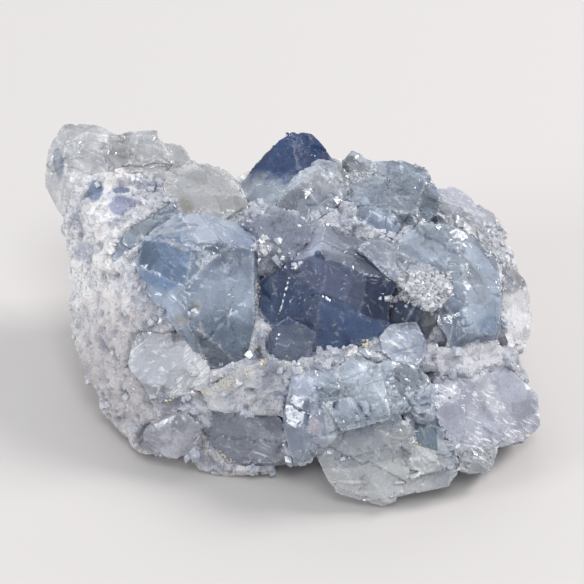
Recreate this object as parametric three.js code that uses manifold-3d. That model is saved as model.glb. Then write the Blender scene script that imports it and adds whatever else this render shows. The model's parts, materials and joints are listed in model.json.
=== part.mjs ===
// A celestite specimen: blue crystals grown from one face of a pale, granular matrix.
//
// Millimetres, +Z up. The origin is on the flat face that the matrix stands on.
// The crystals grow on a broad face that leans back, so they are written in that face's own frame:
// x runs across it, y runs up it, and z points out of it.

import * as THREE from "three";
import { ConvexHull } from "three/addons/math/ConvexHull.js";
import { ImprovedNoise } from "three/addons/math/ImprovedNoise.js";
import { mergeVertices } from "three/addons/utils/BufferGeometryUtils.js";
import Module from "manifold-3d";

const wasm = await Module();
wasm.setup();

// ---- Driving dimensions ----

const FACE_LEAN = THREE.MathUtils.degToRad(50); // turn about X that brings the growth face's frame upright
const FACE_ORIGIN = [0, 3, 26]; // where the growth face's frame sits above the base
const SEAT_GAP = 0.3; // clearance between a crystal and its neighbours
const GROUND_GAP = 0.5; // height above the base at which the lowest crystals are cut off
const BLANK_SIDE = 260; // side of the blank that crystals are cut from
const ROOT_DEPTH = 12; // how far a crystal runs into the matrix, unless it says otherwise
const ROOT_TAPER = 0.72; // how much narrower a crystal is at its root
const FACE_FLATNESS = THREE.MathUtils.degToRad(17); // planes that lean less than this are one crystal face

const BLUE = 0x6f8bae;
const DEEP_BLUE = 0x46648f;
const PALE_AQUA = 0xa9bdc8;
const CLEAR_GREY = 0xb4bfc8;
const FROSTED = 0xc9cedb;
const MATRIX_WHITE = 0xdcdad9;

// ---- Solids ----

const noise = new ImprovedNoise();
const upwards = new THREE.Vector3(0, 0, 1).applyAxisAngle(new THREE.Vector3(1, 0, 0), -FACE_LEAN);

/** A seeded random number maker, so that every build is the same. */
function randomFrom(seed) {
  let state = seed >>> 0;
  return () => {
    state = (state + 0x6d2b79f5) >>> 0;
    let t = Math.imul(state ^ (state >>> 15), 1 | state);
    t = (t + Math.imul(t ^ (t >>> 7), 61 | t)) ^ t;
    return ((t ^ (t >>> 14)) >>> 0) / 4294967296;
  };
}

/** A closed three.js geometry as a solid. */
function solidOf(geometry) {
  const bare = new THREE.BufferGeometry()
    .setAttribute("position", geometry.getAttribute("position"))
    .setIndex(geometry.index);
  const merged = mergeVertices(bare, 1e-4);
  return new wasm.Manifold(
    new wasm.Mesh({
      numProp: 3,
      vertProperties: merged.getAttribute("position").array,
      triVerts: new Uint32Array(merged.index.array),
    }),
  );
}

/** A solid as a flat-shaded geometry. */
function geometryOf(solid) {
  const mesh = solid.getMesh();
  const geometry = new THREE.BufferGeometry()
    .setAttribute("position", new THREE.BufferAttribute(new Float32Array(mesh.vertProperties), 3))
    .setIndex(new THREE.BufferAttribute(new Uint32Array(mesh.triVerts), 1))
    .toNonIndexed();
  geometry.computeVertexNormals();
  return geometry;
}

/** Joins solids into one. */
const joined = (solids) => solids.reduce((whole, solid) => whole.add(solid));

/** The largest separate body of a solid, without the chips that a cut leaves. */
function largestBody(solid) {
  return solid.decompose().reduce((best, body) => (body.volume() > best.volume() ? body : best));
}

const blank = solidOf(new THREE.BoxGeometry(BLANK_SIDE, BLANK_SIDE, BLANK_SIDE));

/** Cuts a blank down to the planes of some faces, each moved out by a margin. */
function cutToFaces(faces, margin = 0) {
  return faces.reduce((solid, { normal, distance }) => {
    const inwards = normal.clone().negate().toArray();
    return solid.trimByPlane(inwards, -(distance + margin));
  }, blank);
}

/** Cuts a solid off level at a height above the base. */
const cutOff = (solid, height) => solid.trimByPlane(upwards.toArray(), height - FACE_ORIGIN[2]);

/** The middle of some points. */
function middleOf(points) {
  const sum = points.reduce((total, point) => total.add(point), new THREE.Vector3());
  return sum.divideScalar(points.length);
}

/** The planes round a set of points. Those that lean less than `flatness` from each other become one. */
function facesRound(points, flatness = 0) {
  const found = new ConvexHull().setFromPoints(points).faces.sort((a, b) => b.area - a.area);
  const leanings = [];
  for (const { normal, area } of found) {
    const near = leanings.find((leaning) => leaning.angleTo(normal) < flatness);
    if (near) near.addScaledVector(normal, area);
    else leanings.push(normal.clone().multiplyScalar(area));
  }
  return leanings.map((leaning) => {
    const normal = leaning.normalize();
    return { normal, distance: Math.max(...points.map((point) => normal.dot(point))) };
  });
}

/**
 * The faces of one crystal, given by the corners that stand clear of the matrix. Its root is the
 * same outline, narrowed and pushed along `root` into the matrix.
 */
function crystal(corners, root = [0, 0, -ROOT_DEPTH], taper = ROOT_TAPER) {
  const clear = corners.map((corner) => new THREE.Vector3(...corner));
  const middle = middleOf(clear);
  const sunk = clear.map((corner) =>
    corner.clone().sub(middle).multiplyScalar(taper).add(middle).add(new THREE.Vector3(...root)),
  );
  return facesRound([...clear, ...sunk], FACE_FLATNESS);
}

// ---- Crystals ----
// Each node is a list of blocks that grew into each other. Those that stand furthest out come
// first, and a later one gives way where it meets them.

const crystals = [
  {
    name: "front_block_crystals",
    colour: PALE_AQUA,
    blocks: [
      crystal([
        [0, -17.5, 16], [0.5, -15.5, 15], [8.5, -15, 17], [4.5, -21.5, 20], [9, -18, 21], [4, -28.5, 19],
        [-2, -24, 16], [0.5, -34, 13], [3, -33.5, 14], [9, -27, 20],
      ]),
      crystal([
        [8.5, -15, 17], [12, -12, 16], [6, -21, 21], [9.5, -26.5, 22], [18, -20, 22], [19, -24.5, 21],
        [17, -14, 18],
      ]),
      crystal([
        [14, -14, 16], [19.5, -14.5, 17], [24, -14.5, 15], [26.5, -17, 15], [23, -23, 17], [18, -24, 20],
      ]),
      crystal([
        [3, -28, 18], [8.5, -39, 13], [12.5, -40, 12], [18, -42, 11], [21.5, -40, 13], [24, -28, 18],
        [10, -24, 20], [20, -23, 19],
      ]),
      crystal([[20, -40, 12], [30.5, -38, 12], [32, -33, 13], [28, -25, 15], [20, -28, 17]]),
      crystal([
        [24, -16, 14], [27.5, -17.5, 13], [26.5, -22, 14.5], [28, -28, 14], [30.5, -32, 13], [24, -30, 14],
        [21, -22, 16],
      ]),
    ],
  },
  {
    name: "large_left_crystal",
    colour: BLUE,
    blocks: [
      crystal([
        [-18, 9.5, 15], [-13, 9.5, 15], [-8, 7.5, 13], [-22.5, 16, 6], [-11, 13.5, 5], [-6.5, 10, 7],
        [-29.5, 10.5, 9], [-30, 5, 10], [-28, 0, 10], [-20.5, 1.5, 17], [-22, -7, 14], [-19.5, -7.5, 15],
        [-15, -15, 11], [-10.5, -14, 11], [-7.5, -6.5, 11], [-7.5, 2, 12],
      ]),
      crystal([[-35.5, 6, 6], [-34, 10.5, 5], [-23, 18.5, 5], [-22.5, 15, 6]]),
    ],
  },
  {
    name: "central_blue_crystal",
    colour: DEEP_BLUE,
    blocks: [
      crystal([
        [-6.5, 2, 8], [5, 8, 14], [19.5, 0.5, 13], [6, 13.5, 6], [22, 7, 6],
        [-6, -11.5, 9], [5.5, -11.5, 13], [18, -8.5, 11],
      ]),
      crystal([[18, 2, 11], [25, -1.5, 12], [28.5, -5, 10.5], [26.5, -9, 10.5], [23, -10, 10], [17, -9, 10]]),
      crystal([
        [-5, -11, 14], [-4, -7, 15], [-1, -5, 16], [1.5, -6, 16], [4.5, -8.5, 15], [3.5, -11.5, 15],
        [0.5, -13.5, 14], [-2.5, -13, 14],
      ]),
    ],
  },
  {
    name: "right_block_crystal",
    colour: BLUE,
    blocks: [
      crystal([
        [20.5, 10, 7], [25, 13, 3], [31, 13.5, 2], [36, 11, 0], [41.5, 6, 0], [33.5, 7, 8], [32.5, 2, 13],
        [24, 6, 9], [28.5, 4.5, 11], [30, -3, 12.5], [34, -3.5, 14], [31, -10.5, 12], [34, -8.5, 14],
        [41.5, -8.5, 6], [41, 0, 6],
      ]),
    ],
  },
  {
    name: "sugared_crystal",
    colour: FROSTED,
    blocks: [
      crystal(
        [
          [12, 9.5, 11.5], [17.5, 10.5, 10], [24, 6, 11.5], [30.5, 1.5, 13], [31, -1, 13.5], [27, -4, 15],
          [21.5, 1, 15], [15.5, 6, 14.5],
        ],
        [0, 0, -5],
      ),
    ],
  },
  {
    name: "small_clear_crystals",
    colour: CLEAR_GREY,
    blocks: [
      crystal([
        [17, -9, 14], [19.5, -6.5, 13], [24, -6, 13], [26.5, -10, 13.5], [24.5, -14.5, 15.5], [18, -12, 15.5],
      ]),
      crystal([[13.5, -10, 12], [17, -8, 12], [18, -12, 14], [13, -12, 14]]),
    ],
  },
  {
    name: "left_corner_crystals",
    colour: CLEAR_GREY,
    blocks: [
      crystal(
        [
          [-50.5, 26.5, -10], [-49.5, 30, -10], [-47.5, 34, -12], [-46, 34.5, -12], [-39, 33.7, -10.5],
          [-45.5, 30.5, -5], [-48, 27.5, -7], [-45.5, 24, -4], [-46, 14, -6], [-49.5, 20, -10], [-35, 32, -9],
          [-34, 24, -3],
        ],
        [5, -7, -9],
      ),
      crystal(
        [
          [-37, 28, -3.5], [-37, 31.8, -6], [-29.2, 32, -5], [-27.2, 33, -6], [-26.5, 30.5, -4], [-24, 26.5, -3],
          [-37, 24, -2.5], [-26, 22, -1],
        ],
        [0, -6, -8],
      ),
      crystal([[-27.5, 30, -8], [-23, 30, -8], [-20, 26.5, -6], [-26, 24, -3]], [0, -8, -8]),
    ],
  },
  {
    name: "pale_top_crystal",
    colour: CLEAR_GREY,
    blocks: [
      crystal(
        [
          [-20.5, 26.5, -5], [-16, 26, -6], [-12, 23.5, -4], [-8.5, 17, 1], [-13.5, 15, 3],
          [-23, 16, 3], [-25.5, 20.5, 0], [-24, 25, -3],
        ],
        [2, -5, -12],
      ),
    ],
  },
  {
    name: "rear_point_crystal",
    colour: DEEP_BLUE,
    blocks: [
      crystal(
        [
          [-11, 23, -12], [-1, 33.5, -16], [4.5, 32.5, -16], [9.5, 26.5, -14], [2, 24.5, -6],
          [-3.5, 15.5, -3], [-8, 17, -5],
        ],
        [3, -10, -8],
      ),
    ],
  },
  {
    name: "upper_pale_crystals",
    colour: PALE_AQUA,
    blocks: [
      crystal(
        [
          [1, 24.5, -4], [5.5, 26.5, -7], [10, 26, -8], [11, 23, -6], [10.5, 18.5, 0], [6.5, 15.5, 2],
          [5, 14.5, 3], [1.5, 13.5, 3], [-2.5, 16, 1], [-3, 19, -1], [0.5, 21, -1],
        ],
        [0, -6, -12],
      ),
      crystal([[10.5, 27.5, -10], [12.5, 29, -12], [16.5, 27, -12], [17, 24, -8], [11, 21, -5]], [-1, -7, -8]),
    ],
  },
  {
    name: "rear_right_crystals",
    colour: BLUE,
    blocks: [
      crystal(
        [
          [17.5, 26, -12], [22, 26.5, -13], [26.5, 26, -12], [29, 21.5, -8], [30, 18, -5], [28, 15, 0],
          [25, 14, 2], [22, 14, 2], [19.5, 16, 2], [12, 18, 0], [12, 22, -5], [12.5, 25, -10],
        ],
        [-2, -8, -10],
      ),
      crystal([[13, 17, 1], [18.5, 17.5, 2], [22, 13, 3], [20.5, 11, 4], [13, 14.5, 3]]),
    ],
  },
  {
    name: "right_rim_crystals",
    colour: FROSTED,
    blocks: [
      crystal(
        [
          [29.5, 21, -8], [33.5, 21.5, -10], [37.5, 18.5, -10], [42.5, 15, -11], [44, 10, -10], [42, 6, -4],
          [36, 12, -2], [30, 15.5, -1],
        ],
        [-4, -6, -8],
      ),
      crystal(
        [[42, 6.5, -4], [46.5, 4.5, -9], [48.5, -1.5, -10], [48.5, -10, -8], [43, -10.5, 0], [42.5, -1.5, 1.5]],
        [-8, 0, -8],
      ),
    ],
  },
  {
    name: "front_right_crystals",
    colour: FROSTED,
    blocks: [
      crystal([
        [27.5, -18, 13], [33, -15, 10], [42.5, -15, 5], [46, -18, 3], [49, -20.5, 1], [49.5, -26.5, 2],
        [46.5, -29, 4], [41, -30.5, 7], [32.5, -31, 13], [28, -22.5, 15],
      ]),
      crystal([[33, -31, 13], [41, -30, 8], [39, -35.5, 9], [33, -35.5, 12]]),
    ],
  },
  {
    name: "lower_middle_crystal",
    colour: CLEAR_GREY,
    blocks: [
      crystal([
        [-16.5, -23.5, 9], [-6.5, -24, 11], [-3, -24.5, 11], [-1, -33.5, 8], [-8, -34, 6], [-12, -33.5, 6],
        [-15, -30.5, 7], [-17, -27.5, 8],
      ]),
    ],
  },
  {
    name: "lower_left_crystal",
    colour: FROSTED,
    blocks: [
      crystal([
        [-28.5, -26, 7], [-22, -23.5, 9], [-18, -26, 9], [-19, -30, 8], [-22.5, -33, 6], [-27, -32.5, 4],
        [-31, -30, 3],
      ]),
    ],
  },
  {
    name: "left_glassy_crystal",
    colour: CLEAR_GREY,
    blocks: [
      crystal([
        [-31, -8.5, 8], [-26, -6, 9], [-21.5, -9, 11], [-16.5, -14, 12], [-16.5, -16.5, 11], [-18, -19, 10],
        [-28, -20, 8], [-32, -14.5, 7],
      ]),
    ],
  },
];

// ---- Matrix ----

const RUBBLE_HEIGHT = 1.4; // height of the matrix's rough relief
const RUBBLE_SCALE = 0.17; // bumps per millimetre
const FINE_RUBBLE = 3.1; // how much closer together the finer bumps are
const BREAK_HEIGHT = 4.5; // height of the lumps and scoops on the broken back
const BREAK_SCALE = 0.085; // lumps per millimetre
const BREAK_DEPTHS = [8, 20]; // how far behind the growth face the broken back begins and is full
const EDGE_SHARPNESS = 12; // higher keeps the edges of a rough block harder

/** Smooth noise at a point, with so many bumps per millimetre. */
const bumps = ({ x, y, z }, scale) => noise.noise(x * scale, y * scale, z * scale);

/** How far the matrix stands out at a point: rubble all over, and lumps and scoops on its broken back. */
function relief(point) {
  const fine = 0.45 * bumps(point, FINE_RUBBLE * RUBBLE_SCALE);
  const rubble = RUBBLE_HEIGHT * (bumps(point, RUBBLE_SCALE) + fine);
  const broken = THREE.MathUtils.smoothstep(-point.z, ...BREAK_DEPTHS);
  return rubble + broken * BREAK_HEIGHT * bumps(point, BREAK_SCALE);
}

/** A lump of matrix inside the hull of some corners, with its edges worn and its faces rough. */
function roughBlock({ corners, detail }) {
  const points = corners.map((corner) => new THREE.Vector3(...corner));
  const middle = middleOf(points);
  const reach = new THREE.Box3().setFromPoints(points).getSize(new THREE.Vector3());
  const faces = facesRound(points.map((point) => point.clone().sub(middle)));
  const geometry = new THREE.IcosahedronGeometry(1, detail);
  const place = geometry.getAttribute("position");
  for (let i = 0; i < place.count; i++) {
    const outwards = new THREE.Vector3().fromBufferAttribute(place, i).multiply(reach).normalize();
    const blocked = faces.reduce((sum, { normal, distance }) => {
      const rate = Math.max(0, normal.dot(outwards)) / distance;
      return sum + rate ** EDGE_SHARPNESS;
    }, 0);
    const point = outwards.clone().multiplyScalar(blocked ** (-1 / EDGE_SHARPNESS)).add(middle);
    point.addScaledVector(outwards, relief(point));
    place.setXYZ(i, point.x, point.y, point.z);
  }
  return solidOf(geometry);
}

const MATRIX_BLOCKS = {
  core: {
    detail: 5,
    corners: [
      [-27, -34, -2], [34, -34, -2], [-27, -10, -31], [36, -10, -31], [-38, 10, 2], [-20, 17, 3], [20, 16, 0],
      [43, 8, -3], [45, -12, -1], [30, -28, 7], [-10, -30, 6], [-36, -20, 2], [-38, 20, -18], [40, 14, -18],
      [-10, 21, -22], [12, 22, -22], [-26, 9, -33], [30, 7, -33],
    ],
  },
  leftWall: {
    detail: 5,
    corners: [
      [-45.5, 23.5, -4], [-38, 26, -3], [-27, 25.5, -1], [-21.5, 18, 2], [-34, 8.5, 7], [-32, -1.5, 8.5],
      [-46.8, 16, -8], [-46.8, 8.5, -9], [-46.5, 0.5, -9], [-46, -9, -9], [-34, -10, 7.5], [-42, 18, -18],
      [-39, -6, -20], [-27, 22, -15],
    ],
  },
  lowerLeft: {
    detail: 5,
    corners: [
      [-46.5, -3, -8], [-45, -12, -8], [-41.5, -19.5, -7], [-38.5, -25.5, -6], [-34, -30.5, -3], [-28.5, -34, 1],
      [-21.5, -35.5, 3], [-34, 0, 8], [-18, -5, 9], [-28, -21.5, 8.5], [-18, -22, 10.5], [-36, -17.5, 4.5],
      [-38, -8, -20],
    ],
  },
  infill: {
    detail: 5,
    corners: [
      [-34, 10, 4], [-32, 1, 8.5], [-29, -5, 9.5], [-18, -17, 10.5], [-7, -14, 10.5], [8, -13, 12.5],
      [20, -12, 12], [32, -12, 10.5], [42, -8, 2], [42, 6, -3], [33, 14, -2], [22, 15, 1], [10, 18, 1.5],
      [-3, 15, 2], [-12, 14, 3], [-8, 3, 8], [10, 0, 9], [24, 0, 8], [34, 0, 6.5], [-25, -10, -8], [30, -8, -8],
      [20, 12, -10], [-20, 12, -8],
    ],
  },
  leftSeam: {
    detail: 3,
    corners: [
      [-34, 7, 7], [-31, 6, 9.5], [-29.5, 0, 10], [-24, -6, 12], [-21, -8.5, 12.5], [-26, -7, 10], [-32, -6, 9],
      [-34.5, 0, 8], [-28, -4, 1], [-32, 4, 0], [-24, -6, 3],
    ],
  },
  lowerSeam: {
    detail: 4,
    corners: [
      [-17, -15, 11], [-12, -15, 12.5], [-6.5, -13, 12], [2, -13.5, 15], [9, -13, 16], [16, -11.5, 15],
      [21, -12.5, 14.5], [20, -10, 12], [6, -11.5, 13], [-6, -11.5, 10], [-14, -18, 11], [-10, -15, 2],
      [10, -13, 4], [18, -12, 4],
    ],
  },
  rightSeam: {
    detail: 3,
    corners: [
      [22, -13.5, 14.5], [26, -14, 14], [28, -11, 13], [33, -11.5, 12], [38, -12, 8.5], [36, -14.5, 9],
      [27, -17, 14], [26, -12, 3], [34, -13, 2],
    ],
  },
  topSeam: {
    detail: 2,
    corners: [
      [8, 25, -9], [15, 25, -11], [8, 20, -3], [15, 20, -3.5], [8, 16, 1], [15, 16, 0.8], [11.5, 14, 3],
      [11.5, 25, -18], [11.5, 14, -8],
    ],
  },
  middleLedge: {
    detail: 3,
    corners: [
      [-18.5, -20, 10.5], [-11, -15.5, 12.5], [-5, -12, 14.5], [0.5, -14, 14.5], [1.5, -23.5, 12.5],
      [-17, -23.5, 11], [-14, -18, 2], [0, -16, 2], [-8, -22, 0],
    ],
  },
  lowerLedge: {
    detail: 3,
    corners: [
      [-21, -30, 7], [-21, -33.5, 5], [-14, -38.5, 3.5], [-11, -37, 4], [-1, -34.5, 6], [4, -30, 9],
      [-5, -25, 6], [-18, -25, 6], [-16, -24, -6], [-4, -24, -6],
    ],
  },
  ridge: {
    detail: 3,
    corners: [
      [-11.5, 14.5, 5], [-6, 15.5, 2], [-0.5, 16, 2], [3, 13, 5], [4.5, 9, 11.5], [-0.5, 6.5, 11.5],
      [-7, 2.5, 10.5], [-8.5, 8, 10.5], [-4, 8, -4],
    ],
  },
  rightRim: {
    detail: 4,
    corners: [
      [28, 21, -9], [38, 18.5, -11], [43.5, 12, -11], [46.5, 3, -10], [48.5, -8, -9], [47.5, -16, -6], [28, 14, 0],
      [42, 4, 0], [42, -9.5, 3], [30, 0, 6], [30, 16, -20], [41, -4, -20],
    ],
  },
  lowerRight: {
    detail: 4,
    corners: [
      [28.5, -11, 11.5], [35, -9, 11], [42, -9, 5.5], [48.5, -12, -1], [49, -18, -1], [27, -18, 13],
      [27, -30, 13], [32, -34, 12], [39, -33.5, 7], [47, -27, 0], [30, -20, -6],
    ],
  },
  rearLeft: {
    detail: 3,
    corners: [
      [-38, 27, -12], [-27, 28, -12], [-15, 22, -9], [-12, 20, -15], [-41, 20, -18], [-24, 24, -20],
      [-12, 17, -25], [-30, 10, -26], [-24, 20, -4], [-36, 22, -4],
    ],
  },
  rearPoint: {
    detail: 3,
    corners: [
      [-13, 21, -12], [-6, 23, -17], [0, 28, -20], [13, 27, -19], [13, 25, -13], [-3, 24, -27], [9, 22, -27],
      [0, 12, -28], [-12, 19, -5], [0, 18, -6], [-10, 15, -14],
    ],
  },
  rearRight: {
    detail: 3,
    corners: [
      [10, 22, -8], [28, 21, -9], [31, 17, -7], [12, 24, -15], [26, 24, -16], [37, 18, -14], [20, 20, -28],
      [31, 10, -27], [8, 18, -26], [42, 10, -14], [38, 4, -22],
    ],
  },
};

// ---- Celestite habit ----

const PRISM_HALF_ANGLE = THREE.MathUtils.degToRad(37.9); // half the angle between the {210} faces
const DOME_ANGLE = THREE.MathUtils.degToRad(52.1); // lean of the {011} faces from {001}

/** The faces of a small blocky celestite crystal: basal, prism and dome faces. */
function habitFaces(at, outwards, turn, size) {
  const thick = 0.42 * size;
  const wide = 0.5 * size;
  const long = 0.7 * size;
  const local = [
    [0, 1, 0, thick],
    [0, -1, 0, thick],
    [Math.cos(PRISM_HALF_ANGLE), 0, Math.sin(PRISM_HALF_ANGLE), wide],
    [-Math.cos(PRISM_HALF_ANGLE), 0, Math.sin(PRISM_HALF_ANGLE), wide],
    [Math.cos(PRISM_HALF_ANGLE), 0, -Math.sin(PRISM_HALF_ANGLE), wide],
    [-Math.cos(PRISM_HALF_ANGLE), 0, -Math.sin(PRISM_HALF_ANGLE), wide],
    [0, Math.cos(DOME_ANGLE), Math.sin(DOME_ANGLE), long],
    [0, -Math.cos(DOME_ANGLE), Math.sin(DOME_ANGLE), long],
    [0, 0, -1, long],
  ];
  const upright = new THREE.Vector3(0, 0, 1);
  const pose = new THREE.Quaternion()
    .setFromUnitVectors(upright, outwards)
    .multiply(new THREE.Quaternion().setFromAxisAngle(upright, turn));
  return local.map(([x, y, z, distance]) => {
    const normal = new THREE.Vector3(x, y, z).applyQuaternion(pose);
    return { normal, distance: distance + normal.dot(at) };
  });
}

const DRUSE_COUNT = 44;
const DRUSE_SIZES_IN_FRONT = [1.8, 3.2]; // smallest and largest beside the large crystals
const DRUSE_SIZES_BEHIND = [4.5, 9.5]; // smallest and largest on the broken back
const DRUSE_SINK = 0.18; // how deep they sit, as a part of their size
const DRUSE_FOOT = 5; // height above the base that they keep clear
const DRUSE_SEED = 7;
const DRUSE_LEAN = 0.7; // how far small crystals lean off the surface they grow from
const LARGEST_PATCH = 12; // area of the surface's largest triangles, in square millimetres

/** Small crystals grown all over the matrix, larger ones behind. */
function druse(surface) {
  const random = randomFrom(DRUSE_SEED);
  const triangles = geometryOf(surface).getAttribute("position");
  const small = [];
  while (small.length < DRUSE_COUNT) {
    const first = 3 * Math.floor((random() * triangles.count) / 3);
    const corners = [0, 1, 2].map((k) => new THREE.Vector3().fromBufferAttribute(triangles, first + k));
    const patch = new THREE.Triangle(...corners);
    const at = middleOf(corners);
    const height = at.dot(upwards) + FACE_ORIGIN[2];
    if (patch.getArea() < LARGEST_PATCH * random() || height < DRUSE_FOOT) continue;
    const outwards = patch.getNormal(new THREE.Vector3());
    const lean = new THREE.Vector3(random() - 0.5, random() - 0.5, random() - 0.5);
    outwards.addScaledVector(lean, DRUSE_LEAN).normalize();
    const spread = random() ** 2;
    const behind = THREE.MathUtils.smoothstep(-at.z, ...BREAK_DEPTHS);
    const size = THREE.MathUtils.lerp(
      THREE.MathUtils.lerp(...DRUSE_SIZES_IN_FRONT, spread),
      THREE.MathUtils.lerp(...DRUSE_SIZES_BEHIND, spread),
      behind,
    );
    at.addScaledVector(outwards, -DRUSE_SINK * size);
    small.push(cutToFaces(habitFaces(at, outwards, 2 * Math.PI * random(), size)));
  }
  return small;
}

/** The matrix: rough blocks and small crystals in one, cut flat underneath, with a socket for every crystal. */
function matrix(sockets) {
  const blocks = joined(Object.values(MATRIX_BLOCKS).map(roughBlock));
  const grown = cutOff(joined([blocks, ...druse(blocks)]), 0);
  return largestBody(grown.subtract(joined(sockets)));
}

// ---- The specimen ----

const growthFace = new THREE.Group();
growthFace.position.set(...FACE_ORIGIN);
growthFace.rotation.x = FACE_LEAN;

/** Adds one named piece to the growth face. */
function addPiece(name, solid, colour, roughness) {
  const material = new THREE.MeshStandardMaterial({ color: colour, roughness, metalness: 0 });
  const mesh = new THREE.Mesh(geometryOf(solid), material);
  mesh.name = name;
  growthFace.add(mesh);
}

const sockets = [];
for (const { name, colour, blocks } of crystals) {
  const whole = cutOff(joined(blocks.map((faces) => cutToFaces(faces))), GROUND_GAP);
  const clear = sockets.length ? whole.subtract(joined(sockets)) : whole;
  addPiece(name, largestBody(clear), colour, 0.15);
  sockets.push(joined(blocks.map((faces) => cutToFaces(faces, SEAT_GAP))));
}
addPiece("matrix", matrix(sockets), MATRIX_WHITE, 0.85);

const specimen = new THREE.Group();
specimen.add(growthFace);

export default specimen;
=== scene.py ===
"""A celestite specimen, dressed: blue crystals on a white, sugary matrix, in a plain studio.

Lengths are written in millimetres and become metres where a mesh is made. Places on the specimen are
written in the growth face's own frame: x across it, y up it, z out of it.
"""

from __future__ import annotations

import json
import logging
import math
from dataclasses import dataclass, field, replace
from enum import Enum
from typing import Iterator, Sequence, TypeAlias

import bmesh
import bpy
import numpy as np
from mathutils import Vector
from mathutils.bvhtree import BVHTree
from mathutils.kdtree import KDTree
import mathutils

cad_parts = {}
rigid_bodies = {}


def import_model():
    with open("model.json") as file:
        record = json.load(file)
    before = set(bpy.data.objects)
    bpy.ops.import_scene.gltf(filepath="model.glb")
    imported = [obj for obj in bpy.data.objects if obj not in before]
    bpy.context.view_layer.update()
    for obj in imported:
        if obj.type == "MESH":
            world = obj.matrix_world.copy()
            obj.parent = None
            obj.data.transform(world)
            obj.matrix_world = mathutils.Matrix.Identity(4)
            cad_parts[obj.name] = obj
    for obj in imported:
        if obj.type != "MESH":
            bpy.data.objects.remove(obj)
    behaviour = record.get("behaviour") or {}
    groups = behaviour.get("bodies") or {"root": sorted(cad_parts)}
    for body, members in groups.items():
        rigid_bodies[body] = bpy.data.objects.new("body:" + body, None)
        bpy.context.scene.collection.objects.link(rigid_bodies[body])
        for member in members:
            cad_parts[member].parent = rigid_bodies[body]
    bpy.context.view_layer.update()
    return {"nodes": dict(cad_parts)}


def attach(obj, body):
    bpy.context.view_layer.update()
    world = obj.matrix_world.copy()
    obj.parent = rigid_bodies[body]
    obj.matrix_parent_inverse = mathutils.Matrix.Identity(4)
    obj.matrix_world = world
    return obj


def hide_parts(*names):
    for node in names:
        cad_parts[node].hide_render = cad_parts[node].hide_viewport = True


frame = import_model()

LOG = logging.getLogger("celestite")
MM = 0.001
BODY = "root"

NEAR_CAD = 1e-6
CAD_CREASE = math.radians(0.6)
UNEVEN_BLOB = 0.35
UNEVEN_PANE = 0.042

Pair: TypeAlias = tuple[float, float]
Triple: TypeAlias = tuple[float, float, float]
Colour: TypeAlias = tuple[float, float, float]
Faces: TypeAlias = list[tuple[int, ...]]
Input: TypeAlias = "Wire | bpy.types.NodeSocket | bpy.types.ID | Sequence[float] | str | float"

FRACTURE: Colour = (0.86, 0.87, 0.89)
NAVY: Colour = (0.03, 0.05, 0.13)
SLATE: Colour = (0.24, 0.27, 0.40)
TEAL: Colour = (0.17, 0.26, 0.34)
WHITE: Colour = (0.90, 0.91, 0.93)


# ---------------------------------------------------------------- places


@dataclass(frozen=True)
class GrowthFace:
    """The frame of the broad face that the crystals grow from."""

    lean: float = math.radians(50)
    origin: Triple = (0.0, 3.0, 26.0)

    def turn(self) -> np.ndarray:
        """The rotation from the face's frame to the specimen's."""
        c, s = math.cos(self.lean), math.sin(self.lean)
        return np.array([[1, 0, 0], [0, c, -s], [0, s, c]])

    def to_world(self, points: np.ndarray | Triple) -> np.ndarray:
        """Takes points from the face's frame to the specimen's, in millimetres."""
        return np.asarray(points, float) @ self.turn().T + np.array(self.origin)

    def to_face(self, points: np.ndarray) -> np.ndarray:
        """Takes points from the specimen's frame to the face's, in millimetres."""
        return (points - np.array(self.origin)) @ self.turn()


FACE = GrowthFace()


# ---------------------------------------------------------------- noise


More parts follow.
